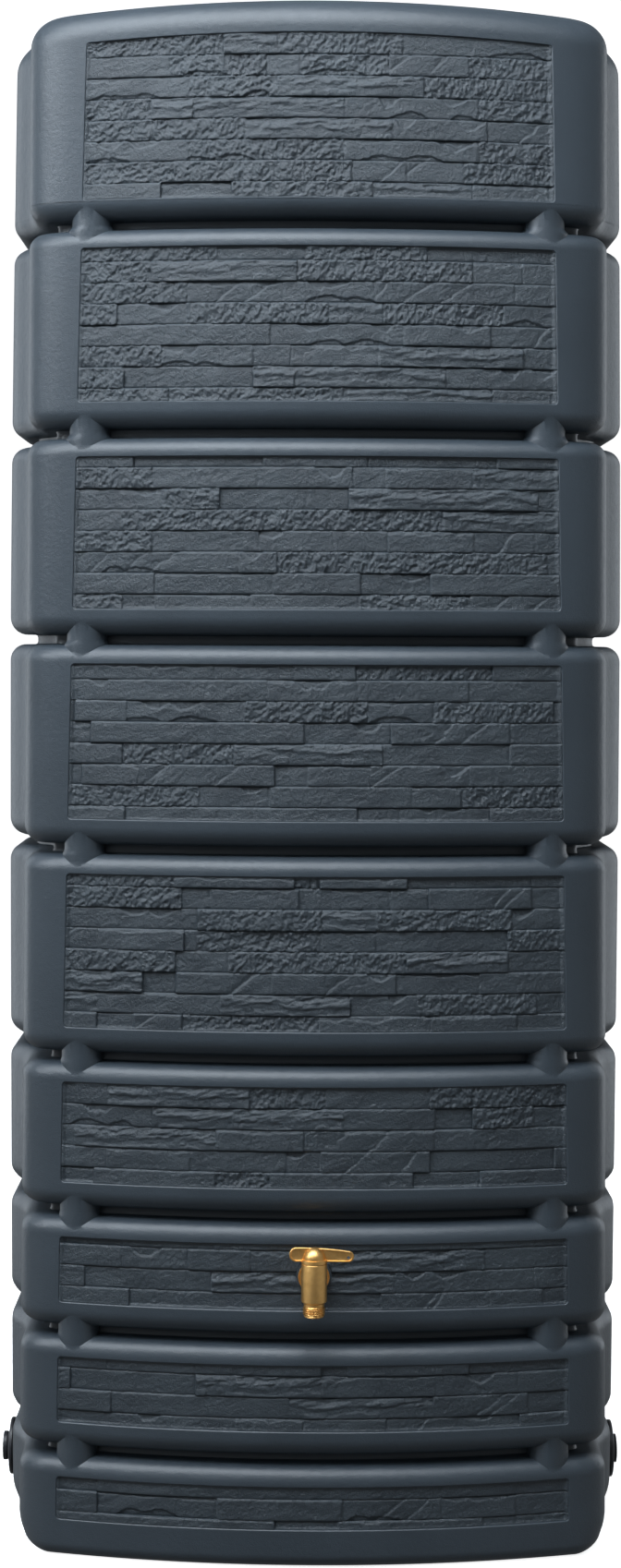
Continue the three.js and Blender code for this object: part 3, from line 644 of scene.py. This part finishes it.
def tank_skin():
    tank = lofted("tank_skin", tank_rings())
    weld(tank, 0.02)
    cut(tank, rib_tool(), "UNION")
    for side in (-1, 1):
        x0, x1 = sorted((side * (BRACKET_X - 26), side * (BRACKET_X + 26)))
        cut(tank, box_tool(x0, x1, 112, 176, BRACKET_SEAT_Z - 8, BRACKET_SEAT_Z + 1), "UNION")
        x0, x1 = sorted((side * (BRACKET_X - 22), side * (BRACKET_X + 22)))
        cut(tank, box_tool(x0, x1, 116, BACK_Y + 20, BRACKET_SEAT_Z, HEIGHT + 20), "DIFFERENCE")
        screw_axis = (side * BRACKET_X, BRACKET_SCREW_Y, 0)
        cut(tank, disc(3.3, BRACKET_SEAT_Z - 30, HEIGHT + 20, (0, 0, 1), screw_axis, 32), "DIFFERENCE")
    boss = disc(TAP_BOSS_RADIUS, TAP_BOSS_FACE_Y, TAP_BOSS_BACK_Y, (0, 1, 0), (0, 0, TAP_Z))
    cut(tank, boss, "UNION")
    hole = disc(INSERT_RADIUS, FRONT_Y - 30, TAP_BOSS_BACK_Y + 10, (0, 1, 0), (0, 0, TAP_Z))
    cut(tank, hole, "DIFFERENCE")
    for side in (-1, 1):
        centre = (0, PORT_Y, PORT_Z)
        pad = turned(
            "pad",
            [(0, PORT_X - 8), (PORT_PAD_RADIUS, PORT_X - 8), (PORT_PAD_RADIUS, PORT_X - 0.5),
             (PORT_PAD_RADIUS - 0.5, PORT_X), (0, PORT_X)],
            (side, 0, 0),
            centre,
        )
        cut(tank, pad, "UNION")
        cut(tank, disc(PORT_BARREL_RADIUS, PORT_X - 40, PORT_X + 20, (side, 0, 0), centre), "DIFFERENCE")
    finish_piece(tank, "tank", TANK_PLASTIC, "tank_shell", 32.0)


# ---------------------------------------------------------------- stone relief
# The courses of each panel, from the top segment down. Each panel gives the height of its first course,
# then its courses. A stone is its width in millimetres, the marks of its finish, and how far it stands
# out, from 0 to 9: s smooth, r rough, f layered, w wavy top edge, c chipped top, b chipped bottom,
# k cracked.
STONES = (
    (25.4, "165r5 65f8 150r6 180b5", "100s6 115rb5 40s4 105rb5 95k6 100r4", "125wb6 105rb5 175f7 155r5",
     "80r4 50f7 180f6 160cb5 90r5", "195r5 175f7 115c6 80k3", "125cb6 105rb5 80rk5 160cwb6 90r5",
     "110r6 215r7 65k5 70k4 110r5", "95s8 85w4 170r8 120f6 100w5"),
    (16.5, "165r4 105w3 145r5 155s2", "85r5 175f8 210r6 60w5 40s5", "130rk6 115wk5 110cb5 170k6 50s6",
     "45r7 85c4 170r7 65f6 145r5 65b4", "105w6 125s7 160cb5 105cw7 80k4",
     "100r6 110cb6 45s5 105w6 175f7 40s3", "55r8 155s3 50f8 180f7 135cw5", "110r8 215r5 175f7 80s5"),
    (12.5, "70s5 155s1 125s4 155s2 75s5", "95r6 125s5 115c5 40s4 105w6 105f6",
     "105cw4 70rw7 155s2 230f8 25s4", "55s5 170r6 215r4 140f6", "95r7 130s4 90c4 65s4 105w6 75k5 30s5",
     "200kb5 45c7 115r5 210r6 15s5", "100s6 145w4 105s6 85c3 160s7",
     "60rw7 40s3 115w4 130s4 135rw5 110k5"),
    (18.0, "175w5 95w4 75s5 165r2 85s6", "80c5 160s6 110cw6 135s6 115s5",
     "5s2 65s6 145cb4 150r6 80wb5 150r6 10s3", "25w4 260s7 105c3 145k7 65s5",
     "65w6 135r4 180f7 155s4 65s6", "15s3 70w7 165k7 40s3 75w6 120kc6 115s6",
     "160r5 85c3 170s6 60w6 125r5", "70w7 155s5 125s6 50s3 110c3 90w7"),
    (13.5, "130r5 145w8 30r3 105w7 150s2 40s4", "80r6 60rk6 35s3 105w6 40s3 70w3 45w4 125k7 40s3",
     "160c3 150r8 65f7 165r7 65c4", "40k4 105w7 15s3 150r3 65w4 160s3 70r6",
     "135r7 65s3 215r5 125f7 70s4", "95f7 40s1 115k5 65s6 85ck6 100w4 105s6",
     "40f5 150w5 155f6 80c3 145r6 35s4", "10s7 30k7 45s3 60k8 165r4 135w7 105w8 60s5"),
    (25.4, "15s4 40s6 170f7 90r4 125s4 165r6", "110cb4 230f6 110s5 45s1 75r6 40w4",
     "15s4 170f6 105w7 40s5 115wk6 160s5", "55s5 100w6 115s4 40c3 130k6 150s2 15s5",
     "40w2 145s7 65r4 170s7 80s2 105s5"),
    (7.6, "75s1 110s4 110s5 270s6 40s5", "75s6 80c5 75s6 80w5 200f6 100s5", "30s7 150s3 215f5 165c5 40s5",
     "85s7 300s3 130k6 65s6 30s4"),
    (12.5, "60s4 105s4 150s5 30s3 145s7 120s4", "15s7 150s3 150f6 135w6 100c5 60s6",
     "65s7 215s4 170f5 115k6 50s3", "60s3 80c4 75s4 80w6 100s5 85k4 75c3 60s5"),
    (15.0, "50w3 170s5 110s5 135s5 90s5 65s4", "50s7 145wb3 150s7 120kb5 90w5 65s4",
     "265s8 75s3 175c6 105s4"),
)
COURSE_HEIGHT = 25.4
STONE_GAP = 0.35
STONE_BACK = 8.4
COLUMN_STEP, ROW_STEP = 1.12, 1.2
LOWEST_FACE, LEVEL_STEP = 5.3, 0.62


class Relief:
    """Depth of split-slate stones behind the tank's front, drawn from one seeded source of chance."""

    def __init__(self, seed):
        self.random = np.random.default_rng(seed)
        self.table = self.random.random((64, 64))

    def noise(self, across, down, cell_across, cell_down, angle=0.0):
        """Smooth noise from 0 to 1 in cells of the given size, turned by angle and moved at random."""
        turn = math.radians(angle)
        u = (across * math.cos(turn) - down * math.sin(turn)) / cell_across + self.random.uniform(0, 64)
        v = (across * math.sin(turn) + down * math.cos(turn)) / cell_down + self.random.uniform(0, 64)
        column, row = np.floor(u).astype(int), np.floor(v).astype(int)
        fu, fv = u - column, v - row
        fu, fv = fu * fu * (3 - 2 * fu), fv * fv * (3 - 2 * fv)
        corner = [[self.table[(column + i) % 64, (row + j) % 64] for j in (0, 1)] for i in (0, 1)]
        top = corner[0][0] * (1 - fu) + corner[1][0] * fu
        low = corner[0][1] * (1 - fu) + corner[1][1] * fu
        return top * (1 - fv) + low * fv

    def terraces(self, value, steps, sharpness=0.3):
        """Turns slopes into flat treads with steep risers, as stone splits in layers."""
        scaled = value * steps
        tread = np.floor(scaled)
        return (tread + smoothstep(scaled - tread, 0.5 - sharpness / 2, 0.5 + sharpness / 2)) / steps

    def smooth(self, s, t, width, height):
        flakes = self.terraces(self.noise(s, t, 24.0, 9.0, 18.0), 3, 0.15)
        grain = self.noise(s, t, 5.0, 3.0, 30.0) * self.noise(s, t, 30.0, 16.0)
        return 0.4 * self.noise(s, t, 26.0, 9.0, 8.0) + 0.6 * flakes + 0.9 * grain

    def rough(self, s, t, width, height):
        lean = self.random.uniform(28.0, 52.0)
        broad = self.noise(s, t, 22.0, 9.0, lean)
        middle = self.noise(s, t, 7.0, 3.4, lean + self.random.uniform(-25.0, 25.0))
        small = self.noise(s, t, 3.2, 2.4, lean + 40.0)
        fine = self.noise(s, t, 1.9, 1.7, -20.0)
        steps = self.terraces(0.55 * broad + 0.45 * middle, 5, 0.25)
        return 2.2 * steps + 0.8 * middle + 1.6 * small + 0.9 * fine - 2.7

    def layered(self, s, t, width, height):
        drift = 0.42 * (self.noise(s, t, 38.0, 60.0) - 0.5) + 0.16 * (self.noise(s, t, 11.0, 9.0) - 0.5)
        down = t / height + drift
        ridge = smoothstep(down, 0.0, 0.40) * (1.0 - 0.8 * smoothstep(down, 0.46, 0.60))
        ledge = smoothstep(down, 0.80, 0.86) * (self.noise(s, t, 22.0, 50.0) > 0.45)
        streaks = self.terraces(self.noise(s, t, 19.0, 2.8, 4.0), 4) + 0.7 * self.noise(s, t, 7.0, 1.8, 9.0)
        fade = 1.0 - 0.75 * smoothstep(down, 0.45, 0.6)
        return 0.2 - 2.4 * ridge - 0.8 * ledge + 1.9 * streaks * fade

    def wavy(self, s, t, width, height):
        edge = 0.6 + 7.5 * self.noise(s, 0.0 * t, 9.0, 10.0) * self.noise(s, 0.0 * t, 30.0, 10.0)
        edge += 0.9 * self.noise(s, 0.0 * t, 3.0, 10.0)
        return 1.3 * (1.0 - smoothstep(t - edge, -0.45, 0.45))

    def chips(self, s, t, width, height, reach=(0.30, 0.52), half=(11.0, 21.0)):
        """Bites out of the top edge, lopsided and with a broken rim."""
        depth = np.zeros_like(s)
        for _ in range(max(1, round(width / 70.0))):
            centre = self.random.uniform(0.12, 0.88) * width
            lean = self.random.uniform(0.6, 1.4)
            size = self.random.uniform(*half)
            low = self.random.uniform(*reach) * height
            across = np.abs(s - centre) / (size * np.where(s < centre, lean, 2.0 - lean))
            edge = low * (1.0 - across**1.7) + 2.2 * (self.noise(s, 0.0 * t, 5.0, 50.0) - 0.5)
            depth = np.maximum(depth, 1.8 * (1.0 - smoothstep(t - edge, -0.45, 0.45)))
        return depth

    def under(self, s, t, width, height):
        """Wider, flatter bites out of the bottom edge."""
        return self.chips(s, height - t, width, height, (0.18, 0.34), (15.0, 30.0))

    def cracked(self, s, t, width, height):
        depth = np.zeros_like(s)
        for _ in range(max(1, round(width / 60.0))):
            start = self.random.uniform(0.1, 0.95) * width
            bend = 5.0 * (self.noise(s * 0, t, 50.0, 6.0) - 0.5)
            away = start - s - self.random.uniform(0.7, 1.5) * t + bend
            depth += 1.4 * smoothstep(away, -0.4, 0.5) * np.exp(-np.maximum(away, 0.0) / 8.0)
        return depth

    def stone(self, s, t, width, height, marks, level):
        depth = np.full_like(s, LOWEST_FACE - LEVEL_STEP * level)
        depth += self.random.uniform(-0.5, 0.2) * (t / height - 0.5)
        depth += self.random.uniform(-0.6, 0.6) * (s / width - 0.5)
        depth += 1.2 * np.clip(1.0 - t / 1.9, 0.0, 1.0) + 1.0 * np.exp(-(height - t) / 0.7)
        depth += 0.8 * np.exp(-s / 0.9) + 0.8 * np.exp(-(width - s) / 0.9)
        depth += self.smooth(s, t, width, height)
        finishes = {"r": self.rough, "f": self.layered, "w": self.wavy, "c": self.chips, "b": self.under,
                    "k": self.cracked}
        for mark in marks:
            if mark in finishes:
                depth += finishes[mark](s, t, width, height)
        return depth


def courses(low, high, first):
    """The heights of a panel's course lines, from its top down."""
    lines = [high, high - first]
    while lines[-1] - COURSE_HEIGHT > low + 4.0:
        lines.append(lines[-1] - COURSE_HEIGHT)
    return lines + [low]


def stone_panel(number, spec, low, high):
    """One segment's slab of stones, a closed solid that lies in the recess."""
    relief = Relief(100 + number)
    low, high = low + STONE_GAP, high - STONE_GAP
    middle_half = panel_half((low + high) / 2) - STONE_GAP
    columns = np.linspace(-middle_half, middle_half, round(2 * middle_half / COLUMN_STEP) + 1)
    lines = courses(low, high, spec[0])
    heights, depths = [], []
    for top, bottom, text in zip(lines, lines[1:], spec[1:]):
        height = top - bottom
        count = max(3, round(height / ROW_STEP) - 2)
        middle = np.linspace(top - 2.7, bottom + 1.6, count - 1)
        rows = np.concatenate(([top - 0.2, top - 1.1, top - 1.8], middle, [bottom + 0.8, bottom + 0.2]))
        stones = re.findall(r"(\d+)([a-z]+)(\d)", text)
        widths = np.array([float(w) for w, _, _ in stones])
        widths *= 2 * middle_half / widths.sum()
        ends = np.concatenate(([0.0], np.cumsum(widths))) - middle_half
        depth = np.zeros((len(rows), len(columns)))
        for i, (_, marks, level) in enumerate(stones):
            inside = (columns >= ends[i]) & (columns <= ends[i + 1])
            s, t = np.meshgrid(columns[inside] - ends[i], top - rows)
            depth[:, inside] = relief.stone(s, t, widths[i], height, marks, int(level))
        heights.append(rows)
        depths.append(depth)
    heights = np.concatenate([[high]] + heights + [[low]])
    depths = np.vstack([depths[0][:1]] + depths + [depths[-1][-1:]])
    from_side = middle_half - np.abs(columns)[None, :]
    from_end = np.minimum(high - heights, heights - low)[:, None]
    depths *= (0.3 + 0.7 * smoothstep(from_side, 0.0, 6.0)) * (0.6 + 0.4 * smoothstep(from_end, 0.0, 3.0))
    depths = np.clip(depths, 0.2, STONE_BACK - 0.8)
    scale = np.array([(panel_half(z) - STONE_GAP) / middle_half for z in heights])
    x = columns[None, :] * scale[:, None]
    z = np.repeat(heights[:, None], len(columns), axis=1)
    front = np.stack((x, FRONT_Y + bow(x) + depths, z - crown_drop(x, z)), axis=-1)
    back = front[[0, -1]].copy()
    back[..., 1] = FRONT_Y + bow(x[[0, -1]]) + STONE_BACK
    rows, count = x.shape
    points = np.concatenate((front.reshape(-1, 3), back.reshape(-1, 3)))
    faces = []
    for r in range(rows - 1):
        a = r * count
        faces += [(a + i, a + count + i, a + count + i + 1, a + i + 1) for i in range(count - 1)]
    behind_top, behind_low, last = rows * count, rows * count + count, (rows - 1) * count
    for i in range(count - 1):
        faces.append((behind_top + i, behind_top + i + 1, behind_low + i + 1, behind_low + i))
        faces.append((i, i + 1, behind_top + i + 1, behind_top + i))
        faces.append((last + i + 1, last + i, behind_low + i, behind_low + i + 1))
    faces.append([behind_top, behind_low] + [r * count for r in range(rows - 1, -1, -1)])
    right_end = [r * count + count - 1 for r in range(rows)]
    faces.append([behind_low + count - 1, behind_top + count - 1] + right_end)
    name = f"stone_panel_{number}"
    panel = mesh_object(name, points, faces)
    if low < TAP_Z < high:
        boss_hole = disc(TAP_BOSS_RADIUS + 0.4, FRONT_Y - 10, FRONT_Y + 20, (0, 1, 0), (0, 0, TAP_Z))
        cut(panel, boss_hole, "DIFFERENCE")
    finish_piece(panel, "tank", STONE, "tank_shell", 75.0)


# ---------------------------------------------------------------- tap
def thread_rows(root, crest, low, high, pitch, segments):
    """Rows of a helical thread for turned(), faded out at both ends."""
    around = np.linspace(0.0, 1.0, segments, endpoint=False)
    rows = []
    for along in np.arange(low, high, pitch / 8.0):
        phase = (along / pitch - around) % 1.0
        flank = np.clip(1.7 * (1.0 - np.abs(2.0 * phase - 1.0)) - 0.35, 0.0, 1.0)
        fade = min(1.0, (along - low) / pitch, (high - along) / pitch)
        rows.append((root + (crest - root) * flank * fade, along))
    return rows


def tap_body():
    segments = 96
    column = turned(
        "tap_body_fine",
        [(0, 313.2), (11.3, 313.2), (11.9, 313.7)]
        + thread_rows(11.7, 13.1, 313.9, 326.4, 2.5, segments)
        + [(12.3, 326.7), (12.4, 329.0), (13.0, 329.7), (14.4, 330.4), (15.0, 331.2), (15.2, 332.4),
           (15.2, 374.9), (15.0, 375.4), (14.6, 375.7), (0, 375.7)],
        (0, 0, 1),
        (0, TAP_Y, 0),
        segments,
    )
    shank = turned(
        "tool",
        [(0, TAP_Y), (11.0, TAP_Y), (11.0, -213.0), (11.5, -208.5), (12.8, -205.6), (15.0, -204.4),
         (16.9, -204.3), (17.3, -205.3), (17.8, -206.1), (18.3, -206.2), (18.7, -205.7), (18.7, -202.5),
         (18.3, -202.0), (13.0, -202.0), (13.0, -177.0), (12.0, -176.0), (0, -176.0)],
        (0, 1, 0),
        (0, 0, TAP_Z),
    )
    cut(column, shank, "UNION")
    cut(column, disc(12.0, 335.0, 380.0, (0, 0, 1), (0, TAP_Y, 0)), "DIFFERENCE")
    cut(column, disc(9.0, 300.0, 337.0, (0, 0, 1), (0, TAP_Y, 0)), "DIFFERENCE")
    cut(column, disc(8.0, TAP_Y, -170.0, (0, 1, 0), (0, 0, TAP_Z)), "DIFFERENCE")
    finish_piece(column, "tank", BRASS, "tap_body", 38.0)


LEVER_ENDS = ((-21.0, 386.0, 8.5), (40.0, 383.9, 6.7))
LEVER_CROWN = 1.2


def lever_outline(inset):
    """The lever plate's outline, set in by inset: two round ends, a straight lower side between them
    and a slightly crowned upper one."""
    (x1, z1, r1), (x2, z2, r2) = LEVER_ENDS
    along = math.atan2(z2 - z1, x2 - x1)
    lean = math.acos((r1 - r2) / math.hypot(x2 - x1, z2 - z1))
    points = []
    for x, z, r, start, stop in (
        (x1, z1, r1, along + lean, along + 2.0 * math.pi - lean),
        (x2, z2, r2, along - lean, along + lean),
    ):
        for a in np.linspace(start, stop, 33):
            points.append((x + (r - inset) * math.cos(a), z + (r - inset) * math.sin(a)))
    (x1, z1), (x2, z2) = points[0], points[-1]
    for part in np.linspace(0.0, 1.0, 14)[1:-1]:
        rise = LEVER_CROWN * math.sin(math.pi * part)
        points.append((x2 + (x1 - x2) * part, z2 + (z1 - z2) * part + rise))
    return points


def lever_slab(name, rows):
    """A solid from (y, inset) rows of the lever plate's outline."""
    rings = [np.array([(x, y, z) for x, z in lever_outline(inset)]) for y, inset in rows]
    return weld(lofted(name, rings), 0.0005)


def tap_lever():
    y = TAP_Y
    lever = lever_slab(
        "tap_lever_fine",
        [(y - 2.0, 0.9), (y - 1.85, 0.45), (y - 1.5, 0.12), (y - 1.0, 0.0), (y + 1.0, 0.0), (y + 1.5, 0.12),
         (y + 1.85, 0.45), (y + 2.0, 0.9)],
    )
    for side in (-1, 1):
        rows = [(y + side * 3.0, 1.6), (y + side * 2.0, 1.7), (y + side * 1.1, 2.1), (y + side * 0.8, 2.9)]
        cut(lever, lever_slab("tool", rows), "DIFFERENCE")
    base, radius = 381.0, 13.4
    dome = [(0, 376.0), (15.0, 376.0), (15.2, 376.2), (15.2, 380.0), (15.0, 380.6), (14.4, 380.9)]
    dome.append((13.7, base))
    for degrees in range(0, 90, 5):
        angle = math.radians(degrees)
        dome.append((radius * math.cos(angle), base + radius * math.sin(angle)))
    dome.append((0, base + radius))
    cut(lever, turned("tool", dome, (0, 0, 1), (0, y, 0)), "UNION")
    cut(lever, disc(1.8, y - 10.0, y + 10.0, (0, 1, 0), (40.2, 0, 382.6), 32), "DIFFERENCE")
    cut(lever, disc(6.3, 370.0, 384.0, (0, 0, 1), (0, y, 0)), "DIFFERENCE")
    finish_piece(lever, "tap_handle", BRASS, "tap_lever", 38.0)


# ---------------------------------------------------------------- side connections
def on_port(name, profile, side, segments=96):
    """Turned about a side connection. Distances run outwards from the tank's flat pad."""
    return turned(name, profile, (side, 0, 0), (side * PORT_X, PORT_Y, PORT_Z), segments)


def port_fitting(label, side):
    fitting = on_port(
        f"port_fitting_{label}_fine",
        [(13.5, -24), (21.0, -24), (22.0, -23), (22.0, 1.8), (35.2, 1.8), (35.5, 2.1), (35.5, 4.4),
         (35.2, 5.2), (34.4, 5.8), (33.4, 6.0), (21.6, 6.0), (20.7, 6.3), (20.3, 7.0), (19.9, 7.9),
         (19.2, 8.4), (14.2, 8.4), (13.5, 7.7)],
        side,
    )
    finish_piece(fitting, "tank", BLACK_PLASTIC, f"port_fitting_{label}", 40.0)


def port_plug(label, side, head):
    """The blanking plug, its head of the given height with a hexagon socket."""
    seat = 10.2
    edge = min(1.2, 0.6 * head)
    profile = [(0, -18), (12.2, -18), (12.9, -17), (12.9, seat), (17.6, seat), (18.0, seat + 0.3)]
    profile.append((18.0, seat + head - edge))
    for degrees in range(20, 91, 14):
        angle = math.radians(degrees)
        profile.append((18.0 - edge + edge * math.cos(angle), seat + head - edge + edge * math.sin(angle)))
    profile.append((0, seat + head))
    plug = on_port(f"port_plug_{label}_fine", profile, side)
    socket = on_port("tool", [(0, 3.2), (6.9, 3.2), (6.9, 20.0), (0, 20.0)], side, 6)
    cut(plug, socket, "DIFFERENCE")
    finish_piece(plug, f"plug_{label}_body", BLACK_PLASTIC, f"port_plug_{label}", 40.0)


# ---------------------------------------------------------------- lid
def lid():
    segments = 432
    around = np.linspace(0.0, 72.0, segments, endpoint=False) % 1.0
    grips = 110.0 - 0.8 * np.clip(2.4 * np.abs(2.0 * around - 1.0) - 1.2, 0.0, 1.0)
    profile = [
        (0, 1888.0), (90.0, 1888.0), (90.0, 1884.2), (92.5, 1884.2), (92.5, 1888.0), (107.0, 1888.0),
        (107.0, 1866.4), (107.4, 1866.0), (108.7, 1866.0), (109.1, 1866.5), (grips, 1867.4),
        (grips, 1886.2), (109.9, 1887.2), (110.0, 1889.0), (109.7, 1890.3), (108.7, 1891.5), (107.0, 1892.0),
        (82.8, 1892.0), (81.6, 1891.7), (80.8, 1891.0), (79.4, 1890.2), (78.0, 1889.8), (0, 1889.8),
    ]
    cap = turned("lid_fine", profile, (0, 0, 1), (0, LID_Y, 0), segments)
    quarter = [(7.0 * math.cos(t), 7.0 * math.sin(t)) for t in np.radians(range(0, 76, 15))]
    bar = [(0, -62.0)] + [(r, -55.0 - along) for r, along in reversed(quarter)]
    bar += [(r, 55.0 + along) for r, along in quarter] + [(0, 62.0)]
    grip = turned("tool", bar, (1, 0, 0), (0, LID_Y, 1889.8), 64)
    cut(grip, box_tool(-90, 90, LID_Y - 20, LID_Y + 20, 1870, 1888.9), "DIFFERENCE")
    cut(cap, grip, "UNION")
    finish_piece(cap, "lid_body", LID_PLASTIC, "lid", 40.0)


# ---------------------------------------------------------------- wall brackets
def corner_arc(y, z, radius, start, stop, steps=8):
    angles = np.radians(np.linspace(start, stop, steps + 1))
    return [(y + radius * math.cos(a), z + radius * math.sin(a)) for a in angles]


def wall_bracket(label, side):
    low = BRACKET_SEAT_Z + 0.3
    top, inner = low + 45.0, BACK_Y - 3.0
    outline = [(118.0, low)] + corner_arc(BACK_Y - 4.5, low + 4.5, 4.5, -90, 0)
    outline += [(BACK_Y, top), (inner, top)] + corner_arc(inner - 1.5, low + 4.5, 1.5, 0, -90)
    outline += [(118.0, low + 3.0)]
    plate = prism(
        f"wall_bracket_{label}_fine", outline, lambda y, z, x: (side * BRACKET_X - 20.0 + x, y, z), 40.0
    )
    hole = disc(3.3, low - 5.0, low + 8.0, (0, 0, 1), (side * BRACKET_X, BRACKET_SCREW_Y, 0), 48)
    cut(plate, hole, "DIFFERENCE")
    cut(plate, disc(3.5, 180.0, 220.0, (0, 1, 0), (side * BRACKET_X, 0, 1899.0), 48), "DIFFERENCE")
    soften(plate, 0.35)
    finish_piece(plate, "tank", ZINC, f"wall_bracket_{label}", 40.0)


def bracket_screw(label, side):
    seat = BRACKET_SEAT_Z + 3.6
    x, y = side * BRACKET_X, BRACKET_SCREW_Y
    profile = [(0, seat - 26), (0.5, seat - 26), (2.3, seat - 21.5)]
    profile += thread_rows(2.3, 3.0, seat - 21.4, seat - 1.5, 1.6, 64)
    profile += [(2.4, seat - 1.2), (2.4, seat), (5.9, seat), (6.2, seat + 0.3), (6.2, seat + 1.1)]
    profile += [(5.9, seat + 1.8), (5.1, seat + 2.6), (3.8, seat + 3.3), (2.0, seat + 3.7), (0, seat + 3.8)]
    screw = turned(f"bracket_screw_{label}_fine", profile, (0, 0, 1), (x, y, 0), 64)
    for half in ((2.6, 0.55), (0.55, 2.6)):
        slot = box_tool(x - half[0], x + half[0], y - half[1], y + half[1], seat + 1.7, seat + 6.0)
        cut(screw, slot, "DIFFERENCE")
    finish_piece(screw, "tank", ZINC, f"bracket_screw_{label}", 40.0)


# ---------------------------------------------------------------- camera, light and stage
def camera():
    data = bpy.data.cameras.new("camera")
    data.lens = 61.58
    data.sensor_width = 36.0
    data.shift_x = 0.012
    data.shift_y = -0.0914
    cam = bpy.data.objects.new("camera", data)
    cam.location = (-0.030, -3.400, 1.108)
    cam.rotation_euler = (math.pi / 2, math.radians(-0.27), 0.0)
    bpy.context.scene.collection.objects.link(cam)
    bpy.context.scene.camera = cam


def area_light(name, place, target, size, power, colour=(1.0, 1.0, 1.0)):
    data = bpy.data.lights.new(name, "AREA")
    data.shape = "RECTANGLE"
    data.size, data.size_y = size
    data.energy = power
    data.color = colour
    light = bpy.data.objects.new(name, data)
    light.location = place
    aim = Vector(target) - Vector(place)
    light.rotation_euler = aim.to_track_quat("-Z", "Y").to_euler()
    light.visible_camera = False
    bpy.context.scene.collection.objects.link(light)


def lights():
    cool = (0.86, 0.93, 1.0)
    area_light("overhead", (-0.5, -1.55, 3.6), (0.0, -0.1, 1.3), (2.8, 1.9), 160.0, cool)
    area_light("key", (-2.9, -1.7, 3.0), (0.0, 0.0, 1.5), (1.0, 1.8), 88.0, cool)
    area_light("left_rim", (-3.3, 2.3, 1.4), (0.0, 0.0, 1.0), (2.4, 3.6), 42.0, cool)
    area_light("right_rim", (3.3, 2.3, 1.4), (0.0, 0.0, 1.0), (2.4, 3.6), 42.0, cool)
    area_light("front", (-1.6, -4.6, 3.0), (0.0, 0.0, 0.9), (3.0, 2.4), 14.0, cool)


def white_surface(name, points, faces, glow):
    mesh = bpy.data.meshes.new(name)
    mesh.from_pydata(points, [], faces)
    for polygon in mesh.polygons:
        polygon.use_smooth = True
    material, nodes, links, shader = new_material(name)
    shader.inputs["Base Color"].default_value = (0.86, 0.87, 0.88, 1.0)
    shader.inputs["Roughness"].default_value = 0.9
    shader.inputs["Emission Color"].default_value = (1.0, 1.0, 1.0, 1.0)
    shader.inputs["Emission Strength"].default_value = glow
    mesh.materials.append(material)
    surface = bpy.data.objects.new(name, mesh)
    surface.visible_diffuse = False
    surface.visible_glossy = False
    bpy.context.scene.collection.objects.link(surface)
    return surface


def stage():
    """A pale floor that curves up behind the object, and a pale wall round it all that only the
    camera sees, for the views from the sides and the back."""
    reach, turn, height, steps = 14.0, 5.0, 12.0, 24
    profile = [(-reach, 0.0), (reach - turn, 0.0)]
    for i in range(1, steps + 1):
        a = math.pi / 2 * i / steps
        profile.append((reach - turn + turn * math.sin(a), turn - turn * math.cos(a)))
    profile.append((reach, height))
    points = [(x, y, z) for y, z in profile for x in (-20.0, 20.0)]
    faces = [(2 * i, 2 * i + 1, 2 * i + 3, 2 * i + 2) for i in range(len(profile) - 1)]
    white_surface("pale_floor", points, faces, 0.85)
    sides = 64
    angles = [2.0 * math.pi * i / sides for i in range(sides)]
    circle = [(reach * math.cos(a), reach * math.sin(a)) for a in angles]
    points = [(x, y, z) for z in (-1.0, 2.0 * height) for x, y in circle]
    faces = [(i, (i + 1) % sides, sides + (i + 1) % sides, sides + i) for i in range(sides)]
    wall = white_surface("pale_wall", points, faces, 1.0)
    wall.visible_shadow = False
    wall.visible_transmission = False


def world():
    """A grey studio that is darker in front of the object and brighter at its sides, the left most."""
    sky = bpy.data.worlds.new("studio")
    bpy.context.scene.world = sky
    sky.use_nodes = True
    nodes, links = sky.node_tree.nodes, sky.node_tree.links
    direction = nodes.new("ShaderNodeSeparateXYZ")
    links.new(nodes.new("ShaderNodeTexCoord").outputs["Generated"], direction.inputs["Vector"])
    strength = nodes.new("ShaderNodeValToRGB")
    half = nodes.new("ShaderNodeMapRange")
    half.inputs["From Min"].default_value = -1.0
    links.new(direction.outputs["X"], half.inputs["Value"])
    links.new(half.outputs["Result"], strength.inputs["Fac"])
    elements = strength.color_ramp.elements
    stops = ((0.0, 0.42), (0.12, 0.42), (0.32, 0.15), (0.68, 0.15), (0.88, 0.30), (1.0, 0.30))
    while len(elements) < len(stops):
        elements.new(0.5)
    for element, (position, value) in zip(elements, stops):
        element.position = position
        element.color = (0.93 * value, 0.97 * value, value, 1.0)
    links.new(strength.outputs["Color"], nodes["Background"].inputs["Color"])
    bpy.context.scene.view_settings.view_transform = "Standard"


camera()
world()
lights()
stage()
tank_skin()
for number, (spec, (low, high)) in enumerate(zip(STONES, reversed(PANELS)), 1):
    stone_panel(number, spec, low, high)

tap_body()
tap_lever()
lid()
for label, side in (("left", -1), ("right", 1)):
    port_fitting(label, side)
    port_plug(label, side, 5.0 if side < 0 else 1.6)
    wall_bracket(label, side)
    bracket_screw(label, side)

CARRIED_OVER = {
    BRASS: ("tap_insert", "tap_rotor", "tap_retainer"),
    RUBBER: ("lid_seal", "tap_flange_seal", "tap_stem_seal", "port_seal_left", "port_seal_right",
             "plug_seal_left", "plug_seal_right"),
    BLACK_PLASTIC: ("port_nut_left", "port_nut_right"),
}
for material, names in CARRIED_OVER.items():
    for name in names:
        node = frame["nodes"][name]
        node.data.materials.clear()
        node.data.materials.append(material)
